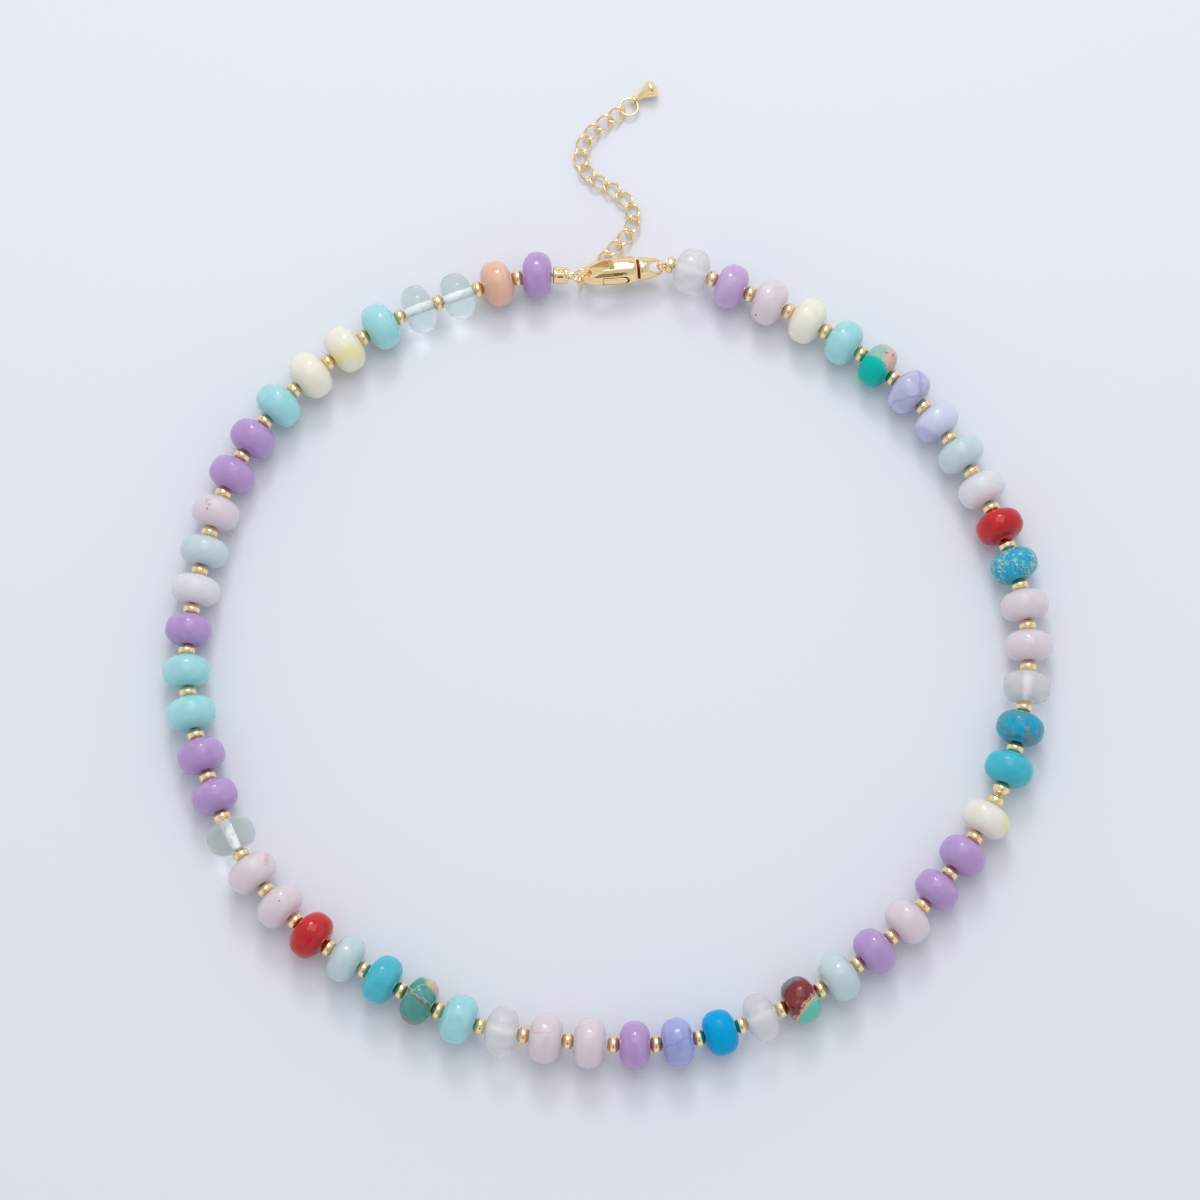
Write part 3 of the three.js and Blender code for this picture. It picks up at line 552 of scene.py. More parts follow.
class Workshop:
    """Mesh work that the sub-assemblies share. Its lengths are millimetres."""

    @staticmethod
    def mesh(name: str, points: Sequence[Sequence[float]], faces: Sequence[Sequence[int]]) -> Piece:
        """Makes an object from points and faces.

        Args:
            name: The object's name.
            points: The corners.
            faces: The corner numbers of each face.

        Returns:
            The new object, linked to the scene.
        """
        data = bpy.data.meshes.new(name)
        data.from_pydata([tuple(point) for point in points], [], [tuple(face) for face in faces])
        data.validate()
        piece = bpy.data.objects.new(name, data)
        bpy.context.scene.collection.objects.link(piece)
        return piece

    @staticmethod
    def lathe(name: str, profile: Sequence[Corner], sides: int, looped: bool) -> Piece:
        """Turns a profile about the X axis.

        Args:
            name: The object's name.
            profile: Pairs of a place along the axis and a radius.
            sides: The number of steps round the axis.
            looped: Whether the profile closes on itself, as round a bore. Otherwise both ends are capped.

        Returns:
            A closed body of revolution with its faces outwards.
        """
        points, faces = [], []
        for step in range(sides):
            angle = 2 * math.pi * step / sides
            across, above = math.cos(angle), math.sin(angle)
            points += [(along, radius * across, radius * above) for along, radius in profile]
        rows = len(profile)
        bands = rows if looped else rows - 1
        for step in range(sides):
            here = step * rows
            there = ((step + 1) % sides) * rows
            for row in range(bands):
                after = (row + 1) % rows
                faces.append((here + row, there + row, there + after, here + after))
        if not looped:
            faces.append([step * rows for step in range(sides)])
            faces.append([step * rows + rows - 1 for step in range(sides)])
        piece = Workshop.mesh(name, points, faces)
        Workshop.face_outwards(piece)
        return piece

    @staticmethod
    def face_outwards(piece: Piece) -> None:
        """Merges doubled points and turns every face outwards.

        Args:
            piece: The piece to mend.
        """
        shell = bmesh.new()
        shell.from_mesh(piece.data)
        bmesh.ops.remove_doubles(shell, verts=shell.verts, dist=1e-5)
        bmesh.ops.recalc_face_normals(shell, faces=shell.faces)
        shell.to_mesh(piece.data)
        shell.free()

    @staticmethod
    def plate(name: str, outline: Sequence[Corner], thickness: float, on_side: bool) -> Piece:
        """Makes a flat outline thick, evenly to both sides of its plane.

        Args:
            name: The object's name.
            outline: Its corners in order.
            thickness: Its whole thickness.
            on_side: Whether the outline lies in X and Z, and not in X and Y.

        Returns:
            A closed prism.
        """
        half = thickness / 2
        count = len(outline)
        points = [(x, y, -half) for x, y in outline] + [(x, y, half) for x, y in outline]
        faces = [list(range(count)), list(range(2 * count - 1, count - 1, -1))]
        faces += [(i, (i + 1) % count, count + (i + 1) % count, count + i) for i in range(count)]
        if on_side:
            points = [(x, -z, y) for x, y, z in points]
        piece = Workshop.mesh(name, points, faces)
        Workshop.face_outwards(piece)
        return piece

    @staticmethod
    def tube(name: str, path: np.ndarray, radius: float, sides: int, looped: bool) -> Piece:
        """Sweeps a round wire along a path.

        Args:
            name: The object's name.
            path: The points of its middle line.
            radius: The wire's radius.
            sides: The number of steps round the wire.
            looped: Whether the path closes on itself. Otherwise both ends are capped.

        Returns:
            A closed wire.
        """
        count = len(path)
        if looped:
            ahead, behind = np.roll(path, -1, axis=0), np.roll(path, 1, axis=0)
        else:
            ahead = np.vstack([path[1:], path[-1]])
            behind = np.vstack([path[0], path[:-1]])
        tangents = [Vector(row).normalized() for row in ahead - behind]
        side = tangents[0].orthogonal().normalized()
        sides_at = []
        for tangent in tangents:
            side = (side - tangent * side.dot(tangent)).normalized()
            sides_at.append(side.copy())
        if looped:
            last = tangents[0]
            back = (side - last * side.dot(last)).normalized()
            drift = math.atan2(back.cross(sides_at[0]).dot(last), back.dot(sides_at[0]))
            for row, tangent in enumerate(tangents):
                sides_at[row].rotate(Matrix.Rotation(drift * row / count, 3, tangent))
        points, faces = [], []
        for centre, tangent, out in zip(path, tangents, sides_at):
            third = tangent.cross(out)
            for step in range(sides):
                angle = 2 * math.pi * step / sides
                points.append(Vector(centre) + (out * math.cos(angle) + third * math.sin(angle)) * radius)
        for row in range(count if looped else count - 1):
            here, there = row * sides, ((row + 1) % count) * sides
            for step in range(sides):
                after = (step + 1) % sides
                faces.append((here + step, here + after, there + after, there + step))
        if not looped:
            faces.append(range(sides - 1, -1, -1))
            faces.append(range((count - 1) * sides, count * sides))
        piece = Workshop.mesh(name, points, faces)
        Workshop.face_outwards(piece)
        return piece

    @staticmethod
    def cut(piece: Piece, tool: Piece, operation: str) -> None:
        """Cuts one body by another, or joins or intersects them, and removes the tool.

        Args:
            piece: The body that is kept.
            tool: The other body.
            operation: DIFFERENCE, UNION or INTERSECT.
        """
        modifier = piece.modifiers.new("cut", "BOOLEAN")
        modifier.operation = operation
        modifier.solver = "EXACT"
        modifier.object = tool
        Workshop.bake(piece)
        bpy.data.objects.remove(tool)

    @staticmethod
    def bake(piece: Piece) -> None:
        """Applies every modifier of a piece and removes them.

        Args:
            piece: The piece to bake.
        """
        graph = bpy.context.evaluated_depsgraph_get()
        graph.update()
        data = bpy.data.meshes.new_from_object(piece.evaluated_get(graph), depsgraph=graph)
        piece.modifiers.clear()
        piece.data = data

    @staticmethod
    def soften(piece: Piece, voxel: float, rounds: int, keep: float) -> None:
        """Rounds every edge of a cut body, as tumbling and polishing do.

        Args:
            piece: The body.
            voxel: The size of the even faces that it is rebuilt from.
            rounds: How many times it is smoothed.
            keep: The share of its faces that stays.
        """
        remesh = piece.modifiers.new("even", "REMESH")
        remesh.mode = "VOXEL"
        remesh.voxel_size = voxel
        remesh.use_smooth_shade = True
        smooth = piece.modifiers.new("polish", "SMOOTH")
        smooth.factor = 0.5
        smooth.iterations = rounds
        thin = piece.modifiers.new("thin", "DECIMATE")
        thin.ratio = keep
        Workshop.bake(piece)

    @staticmethod
    def finish(piece: Piece, name: str, materials: Iterable[Surface] = ()) -> Piece:
        """Turns a piece into metres at the origin, shades it smooth and dresses it.

        Args:
            piece: The piece, in millimetres.
            name: Its final name.
            materials: Its materials in order.

        Returns:
            The same piece.
        """
        piece.data.transform(Matrix.Scale(MILLIMETRE, 4) @ piece.matrix_world)
        piece.matrix_world = Matrix.Identity(4)
        piece.name = name
        piece.data.name = name
        piece.data.shade_smooth()
        chosen = list(materials)
        if chosen:
            piece.data.materials.clear()
            for material in chosen:
                piece.data.materials.append(material)
        return piece


class StoneGroups:
    """Node groups that the stones' materials share. Each puts out masks from 0 to 1."""

    @staticmethod
    def cloud() -> bpy.types.NodeTree:
        """Builds the soft clouding inside a stone.

        Returns:
            The group.
        """
        nodes, outside = start_group("stone_cloud", {"Seed": 0.0, "Scale": 1.2, "Low": 0.35, "High": 0.7})
        noise = nodes.noise(
            outside["Place"], outside["Seed"], Scale=outside["Scale"], Detail=4.0, Roughness=0.55,
            Distortion=0.4)
        return end_group(nodes, {"Mask": nodes.ramp(noise, outside["Low"], outside["High"])})

    @staticmethod
    def polish() -> bpy.types.NodeTree:
        """Builds the slight unevenness of a hand-polished surface: a roughness and a height.

        Returns:
            The group.
        """
        nodes, outside = start_group("hand_polish", {"Seed": 0.0, "Smooth": 0.12, "Dull": 0.22})
        place, seed = outside["Place"], outside["Seed"]
        rough = nodes.add("ShaderNodeMapRange", {
            "Value": nodes.noise(place, seed, Scale=3.0, Detail=3.0), "From Min": 0.3, "From Max": 0.7,
            "To Min": outside["Smooth"], "To Max": outside["Dull"],
        })
        lumps = nodes.noise(place, seed, Scale=2.2, Detail=2.0)
        pits = nodes.noise(place, seed, Scale=26.0, Detail=2.0)
        pitted = nodes.math("MULTIPLY", nodes.ramp(pits, 0.3, 0.45), 0.08)
        height = nodes.math("ADD", lumps, pitted)
        return end_group(nodes, {"Roughness": rough.outputs["Result"], "Height": height})

    @staticmethod
    def spot() -> bpy.types.NodeTree:
        """Builds a small ragged mark at a chosen place on a stone.

        Returns:
            The group.
        """
        nodes, outside = start_group("small_mark", {
            "Centre": (0.0, 0.0, 1.0), "Stretch": (1.0, 1.0, 1.0), "Size": 0.1, "Ragged": 0.3,
        })
        away = nodes.vector("SUBTRACT", outside["Place"], outside["Centre"])
        away = nodes.vector("MULTIPLY", away, outside["Stretch"])
        noise = nodes.add("ShaderNodeTexNoise", {"Vector": outside["Place"], "Scale": 9.0, "Detail": 4.0})
        shift = nodes.math("MULTIPLY", nodes.math("SUBTRACT", noise.outputs["Fac"], 0.5), outside["Ragged"])
        reach = nodes.math("ADD", nodes.vector("LENGTH", away), shift)
        inner = nodes.math("MULTIPLY", outside["Size"], 0.75)
        mask = nodes.math("SUBTRACT", 1.0, nodes.ramp(reach, inner, outside["Size"]))
        return end_group(nodes, {"Mask": mask})

    @staticmethod
    def band() -> bpy.types.NodeTree:
        """Builds a wavy border across a stone: what is past it, and a thin line on it.

        Returns:
            The group.
        """
        nodes, outside = start_group("wavy_border", {
            "Facing": (0.0, 1.0, 0.0), "Start": 0.0, "Waves": 0.3, "Scale": 2.0, "Softness": 0.08,
        })
        noise = nodes.add("ShaderNodeTexNoise", {
            "Vector": outside["Place"], "Scale": outside["Scale"], "Detail": 5.0, "Roughness": 0.6,
        })
        shift = nodes.math("MULTIPLY", nodes.math("SUBTRACT", noise.outputs["Fac"], 0.5), outside["Waves"])
        reach = nodes.vector("DOT_PRODUCT", outside["Place"], outside["Facing"])
        past = nodes.math("SUBTRACT", nodes.math("ADD", reach, shift), outside["Start"])
        mask = nodes.ramp(past, 0.0, outside["Softness"])
        off_line = nodes.ramp(nodes.math("ABSOLUTE", past), 0.0, outside["Softness"])
        return end_group(nodes, {"Mask": mask, "Line": nodes.math("SUBTRACT", 1.0, off_line)})

    @staticmethod
    def web() -> bpy.types.NodeTree:
        """Builds the broken net of veins in a matrix stone.

        Returns:
            The group.
        """
        nodes, outside = start_group("vein_web", {"Scale": 2.0, "Width": 0.05, "Spread": 0.5})
        place, width, spread = outside["Place"], outside["Width"], outside["Spread"]
        noise = nodes.add("ShaderNodeTexNoise", {"Vector": place, "Scale": 2.2, "Detail": 5.0})
        bent = nodes.vector("SUBTRACT", noise.outputs["Color"], (0.5, 0.5, 0.5))
        bent = nodes.vector("ADD", place, nodes.vector("MULTIPLY", bent, (1.1, 1.1, 1.1)))
        cells = nodes.add(
            "ShaderNodeTexVoronoi", {"Vector": bent, "Scale": outside["Scale"]}, feature="DISTANCE_TO_EDGE")
        fine = nodes.add("ShaderNodeTexNoise", {"Vector": place, "Scale": 7.0, "Detail": 4.0})
        thick = nodes.math("MULTIPLY", fine.outputs["Fac"], width)
        line = nodes.ramp(cells.outputs["Distance"], nodes.math("MULTIPLY", thick, 0.4), thick)
        patch = nodes.add("ShaderNodeTexNoise", {"Vector": place, "Scale": 1.7, "Detail": 2.0})
        kept = nodes.ramp(
            patch.outputs["Fac"], nodes.math("SUBTRACT", 1.0, spread), nodes.math("SUBTRACT", 1.12, spread))
        mask = nodes.math("MULTIPLY", nodes.math("SUBTRACT", 1.0, line), kept)
        return end_group(nodes, {"Mask": mask})


@dataclass(frozen=True)
class Mark:
    """A small ragged mark, such as an inclusion, at a chosen place in stone radii."""

    centre: Triple
    stretch: Triple
    size: float
    ragged: float
    ink: Colour


@dataclass(frozen=True)
class Border:
    """A wavy border across a stone, with another colour past it."""

    facing: Triple
    start: float
    waves: float
    scale: float
    softness: float
    ink: Colour
    line_only: bool = False


@dataclass(frozen=True)
class Patches:
    """Scattered patches of another colour; a higher low and high leaves fewer."""

    scale: float
    low: float
    high: float
    ink: Colour


@dataclass(frozen=True)
class Veins:
    """A broken net of veins; a higher spread keeps more of it."""

    scale: float
    width: float
    spread: float
    ink: Colour


@dataclass(frozen=True)
class StoneFinish:
    """The finish of one kind of stone."""

    body: Colour
    cloud: Colour
    cloud_scale: float = 1.2
    cloud_low: float = 0.35
    cloud_high: float = 0.75
    smooth: float = 0.07
    dull: float = 0.13
    scatter: float = 1.0
    depth: float = 8.0
    clear: float = 0.0
    index: float = 1.5
    gloss: float = 0.5
    lumps: float = 0.03
    lamp_share: float = 0.0
    drift: Triple = (0.37, 0.61, 0.23)
    tints: Triple = (1.0, 0.9, 0.9)
    unsized: tuple[str, ...] = ("ink", "line_only")
    bump_reach: float = 0.002
    borders: tuple[Border, ...] = ()
    patches: tuple[Patches, ...] = ()
    veins: tuple[Veins, ...] = ()
    marks: tuple[Mark, ...] = ()

    def base(self, nodes: Tree, place: Socket, seed: Socket, groups: Groups) -> Socket:
        """Builds the colour over the stone: its clouds, borders, patches, veins and marks.

        Args:
            nodes: The material's tree.
            place: Where a point is in its stone, in stone radii.
            seed: A number that differs from stone to stone.
            groups: The shared node groups.

        Returns:
            The colour socket.
        """
        cloud = nodes.group(groups["cloud"], {
            "Place": place, "Seed": seed, "Scale": self.cloud_scale,
            "Low": self.cloud_low, "High": self.cloud_high,
        })
        colour = nodes.mix(cloud.outputs["Mask"], self.body, self.cloud)
        apart = nodes.vector("ADD", place, nodes.scaled(self.drift, seed))
        for kind, parts, inputs in (
                ("cloud", self.patches, {"Place": place, "Seed": seed}),
                ("web", self.veins, {"Place": apart}),
                ("band", self.borders, {"Place": place}),
                ("spot", self.marks, {"Place": place})):
            for part in parts:
                sizes = {name.title(): size for name, size in vars(part).items() if name not in self.unsized}
                shown = nodes.group(groups[kind], {**inputs, **sizes})
                mask = shown.outputs["Line" if getattr(part, "line_only", False) else "Mask"]
                colour = nodes.mix(mask, colour, part.ink)
        return colour

    def material(self, name: str, groups: Groups) -> Surface:
        """Builds the whole material.

        Args:
            name: The material's name.
            groups: The shared node groups.

        Returns:
            The material.
        """
        material, nodes, shader = start_material(name)
        place = nodes.add("ShaderNodeAttribute", attribute_name="place").outputs["Vector"]
        seed = nodes.add("ShaderNodeAttribute", attribute_name="seed").outputs["Fac"]
        links = material.node_tree.links
        links.new(self.base(nodes, place, seed, groups), shader.inputs["Base Color"])
        polish = nodes.group(groups["polish"], {
            "Place": place, "Seed": seed, "Smooth": self.smooth, "Dull": self.dull,
        })
        bump = nodes.add("ShaderNodeBump", {
            "Height": polish.outputs["Height"], "Strength": self.lumps, "Distance": self.bump_reach,
        })
        links.new(polish.outputs["Roughness"], shader.inputs["Roughness"])
        links.new(bump.outputs["Normal"], shader.inputs["Normal"])
        for socket, value in (
                ("IOR", self.index), ("Specular IOR Level", self.gloss),
                ("Subsurface Weight", self.scatter),
                ("Subsurface Radius", self.tints), ("Subsurface Scale", self.depth * MILLIMETRE),
                ("Transmission Weight", self.clear)):
            shader.inputs[socket].default_value = value
        if self.lamp_share:
            self._pass_lamps(material, nodes, shader)
        return material

    def _pass_lamps(self, material: Surface, nodes: Tree, shader: bpy.types.Node) -> None:
        """Lets a share of the lamps' light through a clear stone, onto what lies under it.

        Args:
            material: The material of the stone.
            nodes: Its tree.
            shader: Its shader.
        """
        lamp = nodes.add("ShaderNodeLightPath").outputs["Is Shadow Ray"]
        share = nodes.math("MULTIPLY", lamp, self.lamp_share)
        through = nodes.add("ShaderNodeBsdfTransparent").outputs["BSDF"]
        mixed = nodes.add("ShaderNodeMixShader", {0: share, 1: shader.outputs["BSDF"], 2: through})
        output = material.node_tree.nodes["Material Output"]
        material.node_tree.links.new(mixed.outputs["Shader"], output.inputs["Surface"])


PURPLE = {"body": linear(168, 140, 189), "cloud": linear(175, 148, 195), "cloud_scale": 1.4}
ROSE = {"body": linear(224, 209, 218), "cloud": linear(229, 212, 220), "clear": 0.15}
AQUA = {"body": linear(146, 202, 206), "cloud": linear(160, 209, 213), "cloud_scale": 1.6}
CREAM = {"body": linear(226, 221, 200), "cloud": linear(229, 225, 209), "cloud_scale": 1.0}
QUARTZ = {"body": linear(240, 238, 243), "cloud": linear(246, 245, 248), "clear": 0.5, "index": 1.42}
CLEAR = {"index": 1.36, "smooth": 0.03, "dull": 0.06, "lamp_share": 0.9}
SOLID = {"scatter": 0.3, "depth": 1.2, "gloss": 0.3, "smooth": 0.12, "dull": 0.2}

FINISHES: dict[Look, StoneFinish] = {
    Look.MILKY_QUARTZ: StoneFinish(**QUARTZ, lamp_share=0.6),
    Look.LILAC: StoneFinish(linear(180, 154, 196), linear(188, 164, 202), 1.3),
    Look.PURPLE: StoneFinish(**PURPLE),
    Look.ROSE: StoneFinish(**ROSE),
    Look.ROSE_SPECKED: StoneFinish(**ROSE, marks=(
        Mark((-0.62, -0.7, 0.4), (1.0, 1.0, 0.4), 0.05, 0.06, linear(140, 110, 112)),
        Mark((-0.1, 0.35, 0.85), (0.7, 1.6, 0.4), 0.2, 0.5, linear(234, 224, 230)),
        Mark((0.3, 0.32, 0.85), (0.35, 3.0, 0.4), 0.12, 0.5, linear(216, 198, 208)),
        Mark((0.2, -0.14, 0.9), (0.4, 3.5, 0.4), 0.1, 0.3, linear(216, 196, 206)),
    )),
    Look.ROSE_LINED: StoneFinish(**ROSE, marks=(
        Mark((-0.2, 0.08, 0.95), (0.3, 3.2, 0.4), 0.13, 0.25, linear(214, 188, 200)),
        Mark((0.1, -0.15, 0.95), (0.4, 4.0, 0.4), 0.1, 0.2, linear(216, 194, 204)),
    )),
    Look.ROSE_SPOT: StoneFinish(**ROSE, marks=(
        Mark((0.05, 0.02, 0.98), (1.0, 1.0, 0.5), 0.045, 0.05, linear(90, 70, 84)),
    )),
    Look.ROSE_FEATHER: StoneFinish(**ROSE, marks=(
        Mark((0.62, 0.42, 0.6), (1.9, 0.6, 0.5), 0.24, 0.8, linear(220, 184, 196)),
    )),
    Look.ROSE_MARKED: StoneFinish(**ROSE, marks=(
        Mark((-0.22, 0.3, 0.9), (1.0, 3.2, 0.5), 0.15, 0.3, linear(214, 180, 192)),
        Mark((-0.3, 0.2, 0.9), (3.4, 1.2, 0.5), 0.14, 0.3, linear(214, 182, 194)),
        Mark((-0.18, 0.08, 0.9), (1.4, 2.2, 0.5), 0.14, 0.3, linear(214, 180, 192)),
        Mark((-0.26, -0.08, 0.95), (1.8, 1.1, 0.5), 0.09, 0.3, linear(176, 146, 160)),
    )),
    Look.CREAM: StoneFinish(**CREAM),
    Look.CREAM_BANDED: StoneFinish(**CREAM, borders=(
        Border((0.3, -1.0, 0.0), -0.1, 0.2, 1.0, 0.75, linear(231, 219, 166)),
        Border((0.3, -1.0, 0.0), 0.6, 0.16, 1.2, 0.3, linear(228, 224, 194)),
    )),
    Look.IVORY: StoneFinish(linear(226, 220, 210), linear(222, 214, 198), 1.0, borders=(
        Border((1.0, 0.1, 0.0), 0.42, 0.2, 1.2, 0.45, linear(224, 216, 160)),
        Border((-0.7, -0.7, -0.1), 0.55, 0.2, 1.2, 0.35, linear(228, 206, 186)),
    )),
    Look.AQUA: StoneFinish(**AQUA),
    Look.PALE_AQUA: StoneFinish(linear(188, 208, 215), linear(198, 214, 220), 1.4, clear=0.1),
    Look.MOONSTONE: StoneFinish(linear(224, 224, 233), linear(229, 228, 237), clear=0.15),
    Look.LAVENDER: StoneFinish(
        linear(196, 200, 226), linear(188, 192, 220), 0.9, 0.4, 0.75,
        borders=(Border((-0.5, -0.86, 0.0), 0.5, 0.3, 1.2, 0.25, linear(172, 176, 208)),)),
    Look.BLUE_LACE: StoneFinish(
        linear(168, 170, 200), linear(186, 189, 216), 1.0, 0.3, 0.72,
        borders=(Border((-0.86, 0.5, 0.0), 0.5, 0.3, 1.4, 0.2, linear(150, 152, 192)),
                 Border((0.9, -0.1, 0.0), 0.4, 0.9, 1.0, 0.11, linear(156, 157, 194), True),
                 Border((0.2, -0.9, 0.0), 0.42, 0.7, 1.2, 0.11, linear(160, 160, 196), True))),
    Look.PERIWINKLE: StoneFinish(
        linear(148, 154, 202), linear(158, 164, 208), 1.5, 0.35, 0.75,
        borders=(Border((0.3, -0.9, 0.0), 0.1, 0.8, 1.2, 0.05, linear(138, 144, 194), True),)),
    Look.RED: StoneFinish(
        linear(200, 38, 40), linear(176, 20, 28), 1.2, scatter=0.6, depth=2.0, smooth=0.06, dull=0.11,
        gloss=0.4),
    Look.PEACH: StoneFinish(linear(214, 168, 146), linear(220, 178, 158), 1.4),
    Look.TURQUOISE: StoneFinish(linear(62, 180, 200), linear(76, 188, 206), 1.6, **SOLID),
    Look.SKY_TURQUOISE: StoneFinish(linear(84, 188, 206), linear(64, 178, 200), 1.8, **SOLID, marks=(
        Mark((-0.15, 0.85, 0.5), (0.7, 1.6, 0.5), 0.1, 0.3, linear(52, 160, 186)),
    )),
    Look.BRIGHT_BLUE: StoneFinish(
        linear(0, 160, 216), linear(0, 164, 218), 2.2, **{**SOLID, "gloss": 0.12}, lumps=0.12),
    Look.TEAL_PATCHED: StoneFinish(
        linear(0, 184, 172), linear(0, 188, 176), 2.0, **{**SOLID, "gloss": 0.15},
        borders=(Border((0.45, 0.9, 0.1), 0.02, 0.3, 1.6, 0.12, linear(144, 190, 178)),),
        marks=(Mark((0.5, 0.62, 0.5), (1.0, 1.3, 0.6), 0.34, 0.8, linear(208, 184, 172)),
               Mark((0.56, 0.0, 0.7), (1.0, 0.95, 0.6), 0.5, 0.7, linear(218, 184, 172)),
               Mark((0.34, 0.28, 0.8), (1.2, 2.4, 0.6), 0.14, 0.6, linear(158, 126, 104)),
               Mark((0.62, 0.2, 0.7), (2.0, 1.2, 0.6), 0.12, 0.7, linear(176, 142, 124))),
    ),
    Look.TURQUOISE_WEB: StoneFinish(
        linear(14, 160, 196), linear(34, 174, 204), 2.0, **SOLID,
        patches=(Patches(1.9, 0.57, 0.63, linear(136, 174, 166)),
                 Patches(4.0, 0.6, 0.66, linear(182, 184, 160))),
        veins=(Veins(1.2, 0.06, 0.6, linear(172, 198, 184)), Veins(2.6, 0.06, 0.48, linear(168, 180, 146))),
        marks=(Mark((0.12, 0.66, 0.7), (0.8, 4.0, 0.5), 0.1, 0.25, linear(70, 60, 66)),),
    ),
    Look.TURQUOISE_PATCHED: StoneFinish(
        linear(6, 154, 190), linear(24, 168, 202), 2.0, **SOLID,
        patches=(Patches(1.7, 0.52, 0.6, linear(70, 150, 170)),
                 Patches(2.4, 0.54, 0.6, linear(116, 138, 146)),
                 Patches(3.6, 0.57, 0.64, linear(146, 140, 132))),
        veins=(Veins(2.4, 0.06, 0.4, linear(110, 120, 120)),),
    ),
    Look.RED_JASPER: StoneFinish(
        linear(150, 58, 54), linear(112, 44, 46), 2.0, **SOLID,
        patches=(Patches(3.2, 0.62, 0.7, linear(112, 112, 122)),),
        veins=(Veins(3.0, 0.14, 0.6, linear(92, 40, 38)),),
        borders=(Border((-0.6, 0.75, 0.1), 0.66, 0.9, 2.2, 0.2, linear(112, 122, 132)),
                 Border((0.72, -0.62, 0.0), 0.2, 0.9, 3.4, 0.05, linear(204, 176, 150)),
                 Border((0.72, -0.62, 0.0), 0.27, 0.6, 4.4, 0.04, linear(130, 80, 64), True),
                 Border((0.72, -0.62, 0.0), 0.42, 0.4, 2.6, 0.05, linear(104, 196, 176))),
    ),
    Look.GREEN_JASPER: StoneFinish(
        linear(72, 150, 144), linear(92, 160, 148), 2.0, **SOLID,
        veins=(Veins(1.1, 0.05, 0.4, linear(206, 190, 156)),),
        borders=(Border((0.85, 0.5, 0.0), 0.5, 0.7, 2.4, 0.2, linear(200, 180, 158)),
                 Border((-0.5, -0.86, -0.2), 0.84, 0.2, 2.0, 0.06, linear(160, 104, 96)),
                 Border((-0.5, 0.85, 0.0), 0.36, 0.6, 2.0, 0.04, linear(190, 186, 158), True),
                 Border((0.6, 0.8, 0.0), -0.04, 0.5, 3.4, 0.06, linear(138, 92, 80), True),
                 Border((0.6, 0.8, 0.0), 0.08, 0.8, 3.4, 0.03, linear(196, 180, 152), True)),
    ),
    Look.GREEN_GLASS: StoneFinish(
        linear(238, 244, 239), linear(241, 246, 241), clear=0.94, **CLEAR),
    Look.OPALITE: StoneFinish(
        linear(228, 238, 238), linear(232, 241, 241), clear=0.9, **CLEAR),
}

GLASS_LOOKS = (Look.GREEN_GLASS, Look.OPALITE)


@dataclass(frozen=True)
class GoldFinish:
    """Polished gold plate with fine wear. With dark colours it also serves as painted shade down in the
    clasp's swivel groove.
    """

    name: str = "polished_gold"
    colour: Colour = (1.0, 0.79, 0.47, 1.0)
    deep: Colour = (0.97, 0.71, 0.38, 1.0)
    smooth: float = 0.03
    dull: float = 0.08
    scale: Triple = (400.0, 400.0, 400.0)

    def material(self, groups: Groups) -> Surface:
        """Builds the material.

        Args:
            groups: The shared node groups.

        Returns:
            The material.
        """
        material, nodes, shader = start_material(self.name)
        links = material.node_tree.links
        place = nodes.add("ShaderNodeTexCoord").outputs["Object"]
        sized = nodes.add("ShaderNodeMapping", {"Vector": place, "Scale": self.scale}).outputs["Vector"]
        cloud = nodes.group(groups["cloud"], {"Place": sized, "Scale": 0.8, "Low": 0.3, "High": 0.8})
        polish = nodes.group(groups["polish"], {
            "Place": sized, "Smooth": self.smooth, "Dull": self.dull,
        })
        bump = nodes.add("ShaderNodeBump", {
            "Height": polish.outputs["Height"], "Strength": 0.05, "Distance": 0.0005,
        })
        links.new(nodes.mix(cloud.outputs["Mask"], self.colour, self.deep), shader.inputs["Base Color"])
        links.new(polish.outputs["Roughness"], shader.inputs["Roughness"])
        links.new(bump.outputs["Normal"], shader.inputs["Normal"])
        shader.inputs["Metallic"].default_value = 1.0
        return material


@dataclass(frozen=True)
class ThreadFinish:
    """Pale thread, or the ground wall of a drill hole."""

    name: str = "pale_thread"
    colour: Colour = (0.86, 0.87, 0.88, 1.0)
    shade: Colour = (0.6, 0.62, 0.64, 1.0)
    scale: Triple = (900.0, 900.0, 900.0)

    def material(self, groups: Groups) -> Surface:
        """Builds the material.

        Args:
            groups: The shared node groups.

        Returns:
            The material.
        """
        material, nodes, shader = start_material(self.name)
        links = material.node_tree.links
        place = nodes.add("ShaderNodeTexCoord").outputs["Object"]
        sized = nodes.add("ShaderNodeMapping", {"Vector": place, "Scale": self.scale}).outputs["Vector"]
        cloud = nodes.group(groups["cloud"], {"Place": sized, "Scale": 1.5, "Low": 0.45, "High": 0.7})
        links.new(nodes.mix(cloud.outputs["Mask"], self.colour, self.shade), shader.inputs["Base Color"])
        polish = nodes.group(groups["polish"], {"Place": sized, "Smooth": 0.4, "Dull": 0.6})
        links.new(polish.outputs["Roughness"], shader.inputs["Roughness"])
        return material


